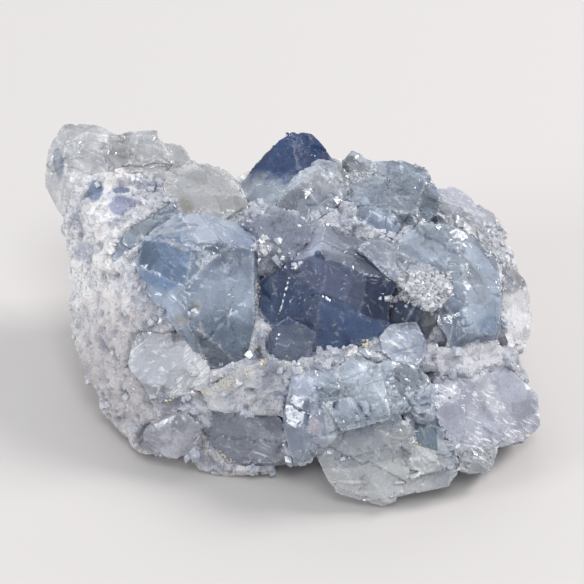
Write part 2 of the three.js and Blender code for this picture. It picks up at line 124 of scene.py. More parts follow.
@dataclass(frozen=True)
class Noise:
    """Seeded gradient noise over space, for many points at once."""

    seed: int = 0

    PRIMES = (73856093, 19349663, 83492791)
    TO_POSITIVE = 100000
    FINER = 2.03

    def _hash(self, cell: np.ndarray) -> np.ndarray:
        """Mixes each cell's numbers with the seed.

        Args:
            cell: The cells' whole numbers, one cell a row.
        Returns:
            A random whole number below 2**24 for each cell.
        """
        x, y, z = (cell[..., k].astype(np.uint64) * np.uint64(prime) for k, prime in enumerate(self.PRIMES))
        h = x ^ y ^ z
        h ^= np.uint64(self.seed * 2654435761 + 97)
        h = (h ^ (h >> np.uint64(13))) * np.uint64(0x5BD1E9955BD1E995)
        return (h ^ (h >> np.uint64(29))) & np.uint64(0xFFFFFF)

    def random(self, cell: np.ndarray, salt: int = 0) -> np.ndarray:
        """A random number from 0 to 1 for each cell."""
        return self._hash(cell + salt * 1013).astype(float) / float(0xFFFFFF)

    def smooth(self, points: np.ndarray) -> np.ndarray:
        """Gradient noise, from about -1 to 1, with one bump a unit.

        Args:
            points: The places, one a row.
        Returns:
            One value a place.
        """
        base = np.floor(points)
        part = points - base
        fade = part**3 * (part * (part * 6 - 15) + 10)
        whole = base.astype(np.int64) + self.TO_POSITIVE
        total = np.zeros(len(points))
        for corner in np.ndindex(2, 2, 2):
            at = np.array(corner)
            hashed = self._hash(whole + at)
            angle = hashed.astype(float) * (2 * math.pi / 4096)
            height = (hashed >> np.uint64(12)).astype(float) / 2048 - 1
            ring = np.sqrt(np.clip(1 - height**2, 0, 1))
            slope = np.stack([ring * np.cos(angle), ring * np.sin(angle), height], -1)
            weight = np.prod(np.where(at, fade, 1 - fade), axis=1)
            total += weight * np.sum(slope * (part - at), axis=1)
        return total * 1.6

    def layered(self, points: np.ndarray, octaves: int = 4, gain: float = 0.5) -> np.ndarray:
        """Several sizes of gradient noise added up.

        Args:
            points: The places, one a row.
            octaves: How many sizes.
            gain: How much weaker each smaller size is.
        Returns:
            One value a place.
        """
        total = np.zeros(len(points))
        for k in range(octaves):
            total += gain**k * Noise(self.seed + 31 * k).smooth(points * self.FINER**k)
        return total

    def facets(self, points: np.ndarray) -> tuple[np.ndarray, np.ndarray]:
        """Flat facets, each tilted its own way, with one facet a unit.

        Args:
            points: The places, one a row.
        Returns:
            The height at each place, from about -0.5 to 0.5, and a random number for each facet.
        """
        base = np.floor(points).astype(np.int64)
        near = np.full(len(points), 9.0)
        later = np.full(len(points), 9.0)
        height = np.zeros(len(points))
        value = np.zeros(len(points))
        for step in np.ndindex(3, 3, 3):
            cell = base + np.array(step) - 1
            shifted = cell + self.TO_POSITIVE
            middle = cell + np.stack([self.random(shifted, salt) for salt in (1, 2, 3)], -1)
            tilt = np.stack([self.random(shifted, salt) for salt in (5, 6, 7)], -1) - 0.5
            gap = np.linalg.norm(points - middle, axis=1)
            closer = gap < near
            later = np.where(closer, near, np.minimum(later, gap))
            number = self.random(shifted, 4)
            slope = 1.6 * np.sum(tilt * (points - middle), axis=1)
            height = np.where(closer, slope + 0.5 * (number - 0.5), height)
            value = np.where(closer, number, value)
            near = np.where(closer, gap, near)
        return height * fade(later - near, 0.0, 0.12), value


def fade(value: np.ndarray, low: float, high: float) -> np.ndarray:
    """Goes smoothly from 0 at low to 1 at high."""
    t = np.clip((value - low) / (high - low), 0, 1)
    return t * t * (3 - 2 * t)


@dataclass(frozen=True)
class Blotches:
    """Uneven patches on a surface, of so many millimetres."""

    seed: int
    size: float
    octaves: int
    span: Pair

    def over(self, points: np.ndarray) -> np.ndarray:
        """Says how far each place is inside a patch, from 0 to 1."""
        return fade(Noise(self.seed).layered(points / self.size, self.octaves), *self.span)


# ---------------------------------------------------------------- meshes


def points_of(mesh: bpy.types.Mesh) -> np.ndarray:
    """Reads a mesh's vertices.

    Args:
        mesh: The mesh.
    Returns:
        Their places, in millimetres.
    """
    flat = np.empty(len(mesh.vertices) * 3)
    mesh.vertices.foreach_get("co", flat)
    return flat.reshape(-1, 3) / MM


def move_points(mesh: bpy.types.Mesh, points: np.ndarray) -> None:
    """Puts a mesh's vertices at places given in millimetres."""
    mesh.vertices.foreach_set("co", (points * MM).ravel())
    mesh.update()


def normals_of(mesh: bpy.types.Mesh) -> np.ndarray:
    """Reads a mesh's vertex normals.

    Args:
        mesh: The mesh.
    Returns:
        The normals, one a row.
    """
    flat = np.empty(len(mesh.vertices) * 3, np.float32)
    mesh.vertex_normals.foreach_get("vector", flat)
    return flat.reshape(-1, 3).astype(float)


def add_value(mesh: bpy.types.Mesh, name: str, values: np.ndarray) -> None:
    """Stores one number a vertex, for a material to read."""
    layer = mesh.attributes.new(name, "FLOAT", "POINT")
    layer.data.foreach_set("value", np.asarray(values, np.float32))


def value_of(mesh: bpy.types.Mesh, name: str) -> np.ndarray:
    """Reads the numbers that a mesh holds for its vertices.

    Args:
        mesh: The mesh.
        name: The attribute's name.
    Returns:
        One number a vertex.
    """
    values = np.empty(len(mesh.vertices), np.float32)
    mesh.attributes[name].data.foreach_get("value", values)
    return values


def shade_smooth(mesh: bpy.types.Mesh, sharpest: float = 180) -> None:
    """Shades a mesh smooth, but for edges that turn by more than so many degrees."""
    mesh.polygons.foreach_set("use_smooth", np.ones(len(mesh.polygons), bool))
    if sharpest < 180:
        mesh.set_sharp_from_angle(angle=math.radians(sharpest))


def new_object(name: str, mesh: bpy.types.Mesh) -> bpy.types.Object:
    """Puts a mesh in the scene as an object of its own.

    Args:
        name: The object's name.
        mesh: Its mesh.
    Returns:
        The object.
    """
    obj = bpy.data.objects.new(name, mesh)
    bpy.context.scene.collection.objects.link(obj)
    return obj


def baked(obj: bpy.types.Object, name: str) -> bpy.types.Object:
    """Turns an object with modifiers into a plain mesh object, and removes the first one.

    Args:
        obj: The object whose modifiers make the shape.
        name: The name of the plain one.
    Returns:
        The plain mesh object.
    """
    graph = bpy.context.evaluated_depsgraph_get()
    mesh = bpy.data.meshes.new_from_object(obj.evaluated_get(graph))
    old = obj.data
    bpy.data.objects.remove(obj)
    if old.users == 0:
        bpy.data.meshes.remove(old)
    mesh.name = name
    return new_object(name, mesh)


def merged_solid(node: str) -> bmesh.types.BMesh:
    """Copies a CAD node's solid.

    Args:
        node: The CAD node.
    Returns:
        The solid, with its vertices merged.
    """
    shape = bmesh.new()
    shape.from_mesh(frame["nodes"][node].data)
    bmesh.ops.remove_doubles(shape, verts=shape.verts, dist=NEAR_CAD)
    return shape


def remeshed(node: str, name: str, cell: float, sharp: bool) -> bpy.types.Object:
    """A CAD node's shape as an even mesh of small faces.

    Args:
        node: The CAD node.
        name: The new object's name.
        cell: The size of the small faces, in millimetres.
        sharp: Whether the edges stay sharp.
    Returns:
        The new object.
    """
    mesh = frame["nodes"][node].data.copy()
    shape = merged_solid(node)
    shape.to_mesh(mesh)
    shape.free()
    mesh.materials.clear()
    obj = new_object(name + "_rough", mesh)
    finer = obj.modifiers.new("even", "REMESH")
    if sharp:
        cells = np.ptp(points_of(mesh), axis=0).max() / cell
        fullest = 0.98
        finer.mode = "SHARP"
        finer.octree_depth = math.ceil(math.log2(cells / fullest))
        finer.scale = cells / 2**finer.octree_depth
        finer.use_remove_disconnected = False
    else:
        finer.mode = "VOXEL"
        finer.voxel_size = cell * MM
    return baked(obj, name)


def nearness_tree(nodes: Sequence[str]) -> BVHTree:
    """Makes a search tree of the surfaces of some CAD nodes.

    Args:
        nodes: The CAD nodes.
    Returns:
        The tree, in metres.
    """
    corners: list[Vector] = []
    faces: Faces = []
    for node in nodes:
        mesh = frame["nodes"][node].data
        faces += [tuple(v + len(corners) for v in face.vertices) for face in mesh.polygons]
        corners += [vert.co for vert in mesh.vertices]
    return BVHTree.FromPolygons(corners, faces)


def nearest(tree: BVHTree, points: np.ndarray, farthest: float) -> tuple[np.ndarray, np.ndarray]:
    """Finds how far points are from a surface, and which way it is.

    Args:
        tree: The surface's search tree.
        points: The points, in millimetres.
        farthest: The distance to stop at, in millimetres.
    Returns:
        The distances, in millimetres, and the directions.
    """
    gaps = np.full(len(points), farthest)
    ways = np.zeros((len(points), 3))
    for k, point in enumerate(points):
        foot, _normal, _face, gap = tree.find_nearest(Vector(point) * MM, farthest * MM)
        if foot is not None:
            gaps[k] = gap / MM
            ways[k] = unit(np.array(foot) / MM - point)
    return gaps, ways


def dress(
    obj: bpy.types.Object, material: bpy.types.Material, slot: Slot, *nodes: str
) -> bpy.types.Object:
    """Gives a finished piece its material, hangs it on the body, hides the CAD nodes it replaces and logs
    its face count.

    Args:
        obj: The piece.
        material: Its material.
        slot: The record's material slot; not used.
        nodes: The CAD nodes that it replaces.
    Returns:
        The piece.
    """
    obj.data.materials.clear()
    obj.data.materials.append(material)
    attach(obj, BODY)
    if nodes:
        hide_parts(*nodes)
    LOG.info("%s: %d faces", obj.name, len(obj.data.polygons))
    return obj


# ---------------------------------------------------------------- node trees


class Outline(Enum):
    """The outlines of colour zones."""

    BLOB = "blob"
    PANE = "pane"
    RHOMB = "rhomb"


@dataclass(frozen=True)
class ColourZone:
    """A part of a crystal or of the matrix that has another colour, in the growth face's frame.

    `size` holds its half widths along its own x, y and z, turned by `turn` about z.
    """

    at: Triple
    size: Triple
    colour: Colour
    strength: float = 1.0
    edge: float = 0.35
    turn: float = 0.0
    outline: Outline = Outline.BLOB


def streak(
    x: float, y: float, z: float, length: float, turn: float, strength: float = 0.7
) -> ColourZone:
    """A thin white fracture that shows through a crystal's face.

    Args:
        x: Its middle, across the growth face, in millimetres.
        y: Its middle, up the face.
        z: Its middle, out of the face.
        length: Its length.
        turn: How far it is turned from upright, against the clock.
        strength: How much of its colour shows.
    Returns:
        The zone.
    """
    half_width, half_depth, edge = 0.3, 6, 0.3
    return ColourZone((x, y, z), (half_width, length / 2, half_depth), FRACTURE, strength, edge, turn)


def pane(
    at: Pair,
    size: Pair,
    colour: Colour,
    turn: float = 0.0,
    strength: float = 0.6,
    outline: Outline = Outline.PANE,
) -> ColourZone:
    """A flat cleavage plane with straight sides, seen through the front of a crystal.

    Args:
        at: Its middle on the growth face, in millimetres.
        size: Its half widths.
        colour: Its colour.
        turn: How far it is turned, against the clock.
        strength: How much of its colour shows.
        outline: Whether it is an oblong or a rhomb.
    Returns:
        The zone.
    """
    level, half_depth, edge = 12, 30, 0.05
    return ColourZone((*at, level), (*size, half_depth), colour, strength, edge, turn, outline)


@dataclass(frozen=True)
class Pattern:
    """A noise: its bumps a millimetre, its layers, how far it is warped, and its roughness.

    `span` holds the two values of the noise that a patch of it fades between.
    """

    per_mm: float
    layers: float = 3.0
    warp: float = 0.0
    rough: float = 0.55
    span: Pair = (0.0, 1.0)


@dataclass(frozen=True)
class Wire:
    """A value that a node tree works out, which takes part in sums as a number does."""

    nodes: Nodes
    socket: bpy.types.NodeSocket

    def __add__(self, other: Input) -> Wire:
        """The sum of the two."""
        return self.nodes.math("ADD", self, other)

    def __sub__(self, other: Input) -> Wire:
        """The first less the second."""
        return self.nodes.math("SUBTRACT", self, other)

    def __mul__(self, other: Input) -> Wire:
        """The product of the two."""
        return self.nodes.math("MULTIPLY", self, other)

    def __or__(self, other: Input) -> Wire:
        """The larger of the two."""
        return self.nodes.math("MAXIMUM", self, other)


@dataclass
class Nodes:
    """A helper that adds and links the nodes of one tree."""

    tree: bpy.types.NodeTree

    def add(
        self, kind: str, inputs: dict[str | int, Input] | None = None, **settings: str | bool
    ) -> bpy.types.Node:
        """Adds a node.

        Args:
            kind: The node's type.
            inputs: Its inputs, by name or number.
            settings: Its own settings.
        Returns:
            The node.
        """
        node = self.tree.nodes.new(kind)
        for key, value in settings.items():
            setattr(node, key, value)
        for key, value in (inputs or {}).items():
            self.feed(node.inputs[key], value)
        return node

    def wire(
        self,
        kind: str,
        inputs: dict[str | int, Input] | None = None,
        output: str | int = 0,
        **settings: str | bool,
    ) -> Wire:
        """Adds a node, to use one of its outputs.

        Args:
            kind: The node's type.
            inputs: Its inputs, by name or number.
            output: The output, by name or number.
            settings: The node's own settings.
        Returns:
            The output.
        """
        return Wire(self, self.add(kind, inputs, **settings).outputs[output])

    def feed(self, socket: bpy.types.NodeSocket, value: Input) -> None:
        """Links a value to an input, or sets the input.

        Args:
            socket: The input.
            value: What it gets: a wire or an output, or a plain value.
        """
        if isinstance(value, Wire):
            value = value.socket
        if isinstance(value, bpy.types.NodeSocket):
            self.tree.links.new(value, socket)
        elif isinstance(value, (tuple, list)) and len(value) == 3 and socket.type == "RGBA":
            socket.default_value = (*value, 1.0)
        else:
            socket.default_value = value

    def math(self, operation: str, a: Input, b: Input = 0.0, clamp: bool = False) -> Wire:
        """The result of a sum on two numbers."""
        return self.wire("ShaderNodeMath", {0: a, 1: b}, operation=operation, use_clamp=clamp)

    def fade(
        self, value: Input, low: float, high: float, out_low: float = 0.0, out_high: float = 1.0
    ) -> Wire:
        """Goes smoothly from one number to another as a value goes from low to high."""
        spans = {"From Min": low, "From Max": high, "To Min": out_low, "To Max": out_high}
        return self.wire(
            "ShaderNodeMapRange", {"Value": value, **spans}, "Result", interpolation_type="SMOOTHSTEP"
        )

    def mix(self, share: Input, a: Input, b: Input, blend: str = "MIX") -> Wire:
        """Mixes two colours."""
        settings = {"data_type": "RGBA", "blend_type": blend, "clamp_factor": True}
        return self.wire("ShaderNodeMix", {0: share, 6: a, 7: b}, 2, **settings)

    def mapped(self, place: Input, at: Triple, turn: Triple, size: Triple) -> Wire:
        """Measures places from a middle, along turned axes, each in its own unit."""
        given = {"Vector": place, "Location": at, "Rotation": turn, "Scale": size}
        return self.wire("ShaderNodeMapping", given, vector_type="TEXTURE")

    def stretched(self, place: Input, stretch: Triple, turn: Triple = (0.0, 0.0, 0.0)) -> Wire:
        """Places for a pattern that is drawn out along each of its axes, and then turned."""
        return self.mapped(place, (0.0, 0.0, 0.0), turn, stretch)

    def attribute(self, name: str) -> Wire:
        """A number that the mesh holds for each vertex."""
        return self.wire("ShaderNodeAttribute", output="Fac", attribute_name=name)


@dataclass
class MaterialNodes(Nodes):
    """The nodes of one material, with its places in millimetres in the growth face's frame."""

    material: bpy.types.Material
    output: bpy.types.Node = field(init=False)
    shader: bpy.types.Node = field(init=False)
    place: Wire = field(init=False)

    @classmethod
    def start(cls, name: str) -> MaterialNodes:
        """Makes a material with only a principled shader.

        Args:
            name: The material's name.
        Returns:
            The helper for its nodes.
        """
        material = bpy.data.materials.new(name)
        material.use_nodes = True
        return cls(material.node_tree, material)

    def __post_init__(self) -> None:
        """Adds the shader, and finds the places."""
        self.tree.nodes.clear()
        self.output = self.add("ShaderNodeOutputMaterial")
        self.shader = self.add("ShaderNodeBsdfPrincipled")
        self.feed(self.output.inputs["Surface"], self.shader.outputs[0])
        local = self.wire("ShaderNodeTexCoord", output="Object")
        origin = tuple(v * MM for v in FACE.origin)
        self.place = self.mapped(local, origin, (FACE.lean, 0, 0), (MM, MM, MM))

    def shade(self, **inputs: Input) -> None:
        """Sets the shader's inputs, named with _ for each space."""
        for name, value in inputs.items():
            self.feed(self.shader.inputs[name.replace("_", " ")], value)

    def noise(self, pattern: Pattern, place: Input | None = None) -> Wire:
        """Adds a noise.

        Args:
            pattern: What the noise is like.
            place: Where it is read. Without it, at the material's own places.
        Returns:
            The noise, from 0 to 1.
        """
        names = ("Scale", "Detail", "Distortion", "Roughness")
        values = (pattern.per_mm, pattern.layers, pattern.warp, pattern.rough)
        where = {"Vector": self.place if place is None else place}
        return self.wire("ShaderNodeTexNoise", where | dict(zip(names, values)), "Fac")

    def patch(self, pattern: Pattern, place: Input | None = None, out: Pair = (0.0, 1.0)) -> Wire:
        """A noise that fades from one number to another over its own span."""
        return self.fade(self.noise(pattern, place), *pattern.span, *out)

    def lines(self, place: Input, pattern: Pattern, width: float) -> Wire:
        """Thin wandering lines, 1 on a line and 0 off it."""
        return self.fade(self.math("ABSOLUTE", self.noise(pattern, place) - 0.5), width, 0.0)

    def plates(self, place: Input, per_mm: float) -> tuple[Wire, Wire]:
        """Plates with straight sides.

        Args:
            place: The places.
            per_mm: How many plates there are in a millimetre.
        Returns:
            A random number for each plate, and how far its rim is.
        """
        near, later = (
            self.add(
                "ShaderNodeTexVoronoi",
                {"Vector": place, "Scale": per_mm},
                feature=feature,
                distance="CHEBYCHEV",
            )
            for feature in ("F1", "F2")
        )
        number = self.wire("ShaderNodeSeparateColor", {"Color": near.outputs["Color"]})
        gap = self.math("SUBTRACT", later.outputs["Distance"], near.outputs["Distance"])
        return number, self.math("DIVIDE", gap, 2 * per_mm)

    def dots(self, per_mm: float, size: float, share: float) -> Wire:
        """Small specks.

        Args:
            per_mm: How many places for a speck there are in a millimetre.
            size: Their size, in millimetres.
            share: The share of the places that have one.
        Returns:
            1 in a speck and 0 outside it.
        """
        cell = self.add("ShaderNodeTexVoronoi", {"Vector": self.place, "Scale": per_mm})
        number = self.wire("ShaderNodeSeparateColor", {"Color": cell.outputs["Color"]}, 1)
        near = self.fade(cell.outputs["Distance"], size * per_mm, 0.4 * size * per_mm)
        return near * self.math("LESS_THAN", number, share)

    def rings(self, per_mm: float, warp: float) -> Wire:
        """Adds curved ridges like those of a shell.

        Args:
            per_mm: How many ridges there are in a millimetre.
            warp: How far they are bent.
        Returns:
            Their height, from 0 to 1.
        """
        shape = {"Scale": per_mm / 3.2, "Distortion": warp, "Detail": 2.0, "Detail Scale": 0.3}
        kind = {"wave_type": "RINGS", "rings_direction": "SPHERICAL", "wave_profile": "SAW"}
        return self.wire("ShaderNodeTexWave", {"Vector": self.place, **shape}, "Fac", **kind)

    def warped(self, per_mm: float, depth: float) -> Wire:
        """Pushes the material's places about by smooth noise.

        Args:
            per_mm: The noise's bumps a millimetre.
            depth: How far it pushes them, in millimetres.
        Returns:
            The pushed places.
        """
        given = {"Vector": self.place, "Scale": per_mm, "Detail": 2.0}
        push = self.wire("ShaderNodeTexNoise", given, "Color")
        moved = {0: push, 1: (2 * depth,) * 3, 2: self.place}
        return self.wire("ShaderNodeVectorMath", moved, operation="MULTIPLY_ADD")

    def spot(self, zone: ColourZone) -> Wire:
        """How strong a colour zone is: its strength inside an uneven outline, and 0 outside it.

        Args:
            zone: The zone.
        Returns:
            The zone's strength.
        """
        local = self.mapped(self.place, zone.at, (0, 0, zone.turn), zone.size)
        if zone.outline is Outline.BLOB:
            uneven = UNEVEN_BLOB
            reach = self.wire("ShaderNodeVectorMath", {0: local}, "Value", operation="LENGTH")
        else:
            uneven = UNEVEN_PANE
            sides = self.wire("ShaderNodeVectorMath", {0: local}, operation="ABSOLUTE")
            x, y, _ = self.add("ShaderNodeSeparateXYZ", {0: sides}).outputs
            reach = self.math("MAXIMUM" if zone.outline is Outline.PANE else "ADD", x, y)
        wander = self.noise(Pattern(0.35, 4.0)) * (2 * uneven)
        rim = 1 + uneven
        return self.fade(reach + wander, rim + zone.edge, rim - zone.edge) * zone.strength

    def zoned(self, colour: Wire, zones: Sequence[ColourZone]) -> Wire:
        """Lays colour zones over a colour, one after the other."""
        for zone in zones:
            colour = self.mix(self.spot(zone), colour, zone.colour)
        return colour

    def bump(self, *layers: tuple[Wire, float]) -> None:
        """Gives the shader fine relief.

        Args:
            layers: The heights, each with its depth in millimetres.
        """
        normal = None
        for height, depth in layers:
            node = self.add("ShaderNodeBump", {"Height": height, "Distance": depth * MM, "Strength": 1.0})
            if normal is not None:
                self.feed(node.inputs["Normal"], normal)
            normal = node.outputs["Normal"]
        self.feed(self.shader.inputs["Normal"], normal)


# ---------------------------------------------------------------- crystals


class Slot(Enum):
    """The record's material slots."""

    BLUE = "blue_crystal"
    DEEP_BLUE = "deep_blue_crystal"
    AQUA = "pale_aqua_crystal"
    CLEAR = "clear_grey_crystal"
    FROSTED = "frosted_crystal"
    MATRIX = "white_matrix"


@dataclass(frozen=True)
class CrystalFinish:
    """How one kind of crystal looks, all through and on its skin."""

    slot: Slot
    body: Colour
    cloud: Colour
    cloudiness: float
    clearness: float
    depth_colour: Colour
    depth: float
    gloss: float
    frost: float
    crack: float = 0.4
    edge_frost: float = 0.6
    crust: Colour = (0.85, 0.86, 0.89)
    crusting: float = 0.55
    # The next two fields paint the facets that face up the growth face: a colour, paler than the body for a
    # painted sky reflection and darker than it for painted shade, and how much of it shows.
    top: Colour = (0.42, 0.44, 0.52)
    top_light_and_shade_share: float = 0.3
    contrast: float = 0.42
    fibres: float = 0.12
    lie: float = -0.4
    flecks_and_sparkle: float = 0.2

    CLOUDS = Pattern(0.10, 3.0, 0.7, 0.5, (0.38, 0.66))
    FEATHERS = Pattern(0.4, 5.0, 1.6, 0.62, (0.50, 0.72))
    FEATHERED = Pattern(0.17, 2.0, 0.5, span=(0.44, 0.62))
    FINE = Pattern(2.6, 4.0, 0.3, 0.7)
    SPECKLE = Pattern(1.7, 3.0, 0.4, 0.75)
    CRACKED = Pattern(0.25, 3.0, 0.6, span=(0.50, 0.64))
    WANDER = Pattern(0.30, 2.0, 1.5)
    THREADS = Pattern(1.6, 4.0, 0.5, 0.6, (0.52, 0.63))
    SKIN = Pattern(0.5, 5.0, 1.0, 0.65, (0.45, 0.7))
    SHELLED = Pattern(0.13, 2.0, 0.3, span=(0.52, 0.60))
    HOLLOWS = Pattern(0.7, 3.0, 1.2, 0.5)
    BENDS = (0.5, 0.25)
    LARGE_PLATES = 0.15
    SMALL_PLATES = 0.34
    LARGE_SPLIT = (0.16, 0.04)
    SMALL_SPLIT = (0.10, 0.02)
    WANDER_WIDTH = 0.012
    BROKEN = (0.35, 0.6)
    WORN_EDGE = (0.36, 0.58)
    CRUSTED = (0.40, 0.56)
    SPECKS = (1.1, 0.16, 0.45)
    SHELLS = (0.7, 3.0)
    MILKINESS = 0.75
    WHITE_ROUGHNESS = 0.4
    WHITE_CLEARNESS = 0.08
    WHITE_RISE = 0.02
    SHELL_DEPTH = 0.08
    HOLLOW_DEPTH = 0.06
    IOR = 1.63

    def _mist(self, n: MaterialNodes, broad: Wire) -> Wire:
        """How cloudy the crystal is.

        Args:
            n: The material's nodes.
            broad: Its broad clouds.
        Returns:
            The cloudiness, from 0 to 1.
        """
        feathers = n.patch(self.FEATHERS, n.stretched(n.place, (2.2, 1.0, 1.4), (0.4, 0.2, self.lie)))
        mist = broad * 0.5 + feathers * n.patch(self.FEATHERED) * 1.1
        return n.math("MULTIPLY", mist, self.cloudiness, clamp=True)

    def _shade(self, n: MaterialNodes, plates: Sequence[Wire], fine: Wire) -> Wire:
        """How light each inner plate and each facet is.

        Args:
            n: The material's nodes.
            plates: A random number for each large and each small plate.
            fine: The fine noise.
        Returns:
            What to multiply the colour with.
        """
        large, small = plates
        parts = large * 0.35 + small * 0.2 + n.attribute("facet_tone") * 0.45
        shade = n.fade(parts, 0.2, 0.8, 1 - self.contrast, 1 + 0.55 * self.contrast)
        return shade * n.fade(fine, 0.30, 0.70, 0.86, 1.14)

    def _cracks(self, n: MaterialNodes, rims: Sequence[Wire], speckle: Wire, broad: Wire) -> Wire:
        """Where white cracks, fibres and specks show; the specks are small white flecks and painted sparkle.

        Args:
            n: The material's nodes.
            rims: How far the rims of the large and the small plates are.
            speckle: The noise that breaks the cracks up.
            broad: The crystal's broad clouds.
        Returns:
            The cracks, from 0 to 1.
        """
        patches = n.patch(self.CRACKED)
        splits = n.fade(rims[0], *self.LARGE_SPLIT) | n.fade(rims[1], *self.SMALL_SPLIT)
        drawn = n.stretched(n.place, (2.8, 1.0, 1.0), (0, 0, self.lie))
        cracks = (splits | n.lines(drawn, self.WANDER, self.WANDER_WIDTH)) * patches
        cracks = cracks * (n.fade(speckle, *self.BROKEN) * self.crack)
        threads = n.patch(self.THREADS, n.stretched(n.place, (4.5, 0.7, 2.0), (0, 0, self.lie)))
        cracks = cracks | threads * self.fibres * n.fade(broad, 0.1, 0.7)
        # White specks: small white flecks on the faces, and painted sparkle.
        return cracks | n.dots(*self.SPECKS) * self.flecks_and_sparkle

    def material(self, name: str, zones: Sequence[ColourZone] = ()) -> bpy.types.Material:
        """Makes the material for one crystal.

        Args:
            name: The material's name.
            zones: The parts of the crystal that have another colour.
        Returns:
            The material.
        """
        n = MaterialNodes.start(name)
        broad = n.patch(self.CLOUDS)
        mist = self._mist(n, broad)
        colour = n.zoned(n.mix(mist, self.body, self.cloud), zones)
        # Up-facing facets are mixed towards the top colour: painted sky reflection, and painted shade where
        # that colour is darker than the body.
        colour = n.mix(n.attribute("upwards") * self.top_light_and_shade_share, colour, self.top)
        bent = n.warped(*self.BENDS)
        drawn = n.stretched(bent, (1.8, 1.0, 1.2), (0.5, 0.3, self.lie))
        large, large_rim = n.plates(drawn, self.LARGE_PLATES)
        drawn = n.stretched(bent, (1.0, 1.9, 1.4), (-0.4, 0.5, self.lie + 0.5))
        small, small_rim = n.plates(drawn, self.SMALL_PLATES)
        fine = n.noise(self.FINE)
        colour = n.mix(1.0, colour, self._shade(n, (large, small), fine), "MULTIPLY")
        speckle = n.noise(self.SPECKLE)
        cracks = self._cracks(n, (large_rim, small_rim), speckle, broad)
        frosted = n.attribute("edge_wear") * n.fade(speckle, *self.WORN_EDGE)
        crusted = n.attribute("crust") * n.fade(speckle, *self.CRUSTED)
        white = frosted * self.edge_frost | crusted * self.crusting | cracks
        skin = n.patch(self.SKIN, out=(self.gloss, self.gloss + self.frost))
        milk = mist * self.MILKINESS | white
        n.shade(
            Base_Color=n.mix(white, colour, self.crust),
            Roughness=n.math("ADD", skin, white * self.WHITE_ROUGHNESS, clamp=True),
            Transmission_Weight=n.fade(milk, 0.0, 1.0, self.clearness, self.WHITE_CLEARNESS),
            IOR=self.IOR,
        )
        depth = {"Color": self.depth_colour, "Density": self.depth}
        n.feed(n.output.inputs["Volume"], n.wire("ShaderNodeVolumeAbsorption", depth))
        shells = n.rings(*self.SHELLS) * n.patch(self.SHELLED)
        n.bump(
            (white, self.WHITE_RISE),
            (shells, self.SHELL_DEPTH),
            (n.noise(self.HOLLOWS), self.HOLLOW_DEPTH),
            (fine, 0.012 + 0.05 * self.frost),
        )
        return n.material


BLUE = CrystalFinish(
    Slot.BLUE, (0.56, 0.67, 0.84), (0.72, 0.80, 0.89), 0.8, 0.66, (0.50, 0.65, 0.90), 25, 0.05, 0.12,
    top=(0.62, 0.67, 0.77),
)
# Its pale lilac top colour is a painted sky reflection on its up-facing facets.
DEEP_BLUE = CrystalFinish(
    Slot.DEEP_BLUE, (0.10, 0.17, 0.34), (0.20, 0.28, 0.47), 0.6, 0.70, (0.25, 0.40, 0.75), 40, 0.04, 0.10,
    top=(0.74, 0.78, 0.92), top_light_and_shade_share=0.85, edge_frost=0.3, flecks_and_sparkle=0.3,
)
AQUA = CrystalFinish(
    Slot.AQUA, (0.55, 0.63, 0.75), (0.74, 0.80, 0.87), 0.9, 0.62, (0.60, 0.72, 0.88), 20, 0.06, 0.16,
    top=(0.64, 0.68, 0.76), contrast=0.4, lie=-0.9,
)
CLEAR = CrystalFinish(
    Slot.CLEAR, (0.85, 0.86, 0.89), (0.94, 0.94, 0.94), 0.9, 0.62, (0.75, 0.79, 0.86), 10, 0.04, 0.14,
    top=(0.84, 0.85, 0.87), fibres=0.3,
)
SMOKY = CrystalFinish(
    Slot.CLEAR, (0.42, 0.45, 0.55), (0.66, 0.69, 0.76), 0.9, 0.70, (0.55, 0.60, 0.74), 35, 0.05, 0.15,
    contrast=0.5, fibres=0.3, flecks_and_sparkle=0.3,
)
FROSTED = CrystalFinish(
    Slot.FROSTED, (0.58, 0.59, 0.69), (0.76, 0.76, 0.83), 0.9, 0.5, (0.72, 0.75, 0.87), 20, 0.16, 0.3,
    top=(0.68, 0.68, 0.76), fibres=0.5,
)


@dataclass(frozen=True)
class Relief:
    """The sizes of a crystal's own surface, in millimetres."""

    steps: int = 2
    step: float = 0.28
    chip_spacing: float = 3.6
    chip: float = 0.16
    corner: float = 0.5
    hill: float = 0.03
    hill_spacing: float = 6.0
    ripple: float = 0.0
    ripple_spacing: float = 1.5
    etch: float = 0.018

    TERRACES = 2.2
    TERRACE_RISE = (0.75, 1.0)
    RIPPLE_STRETCH = (1, 0.7, 1.2)
    RIPPLE_CENTRE = (30, -30, 0)
    RIPPLE_BEND = 2.2
    RIPPLED = (-0.1, 0.35)
    ETCH_SIZE = 0.8


@dataclass(frozen=True)
class Facet:
    """One flat face of a CAD solid."""

    normal: np.ndarray
    level: float
    area: float
    sides: tuple[tuple[np.ndarray, np.ndarray], ...]


@dataclass(frozen=True)
class Ridge:
    """One outer edge of a CAD solid."""

    start: np.ndarray
    end: np.ndarray
    normals: tuple[np.ndarray, np.ndarray]

    def length(self) -> float:
        """How long it is, in millimetres."""
        return float(np.linalg.norm(self.end - self.start))


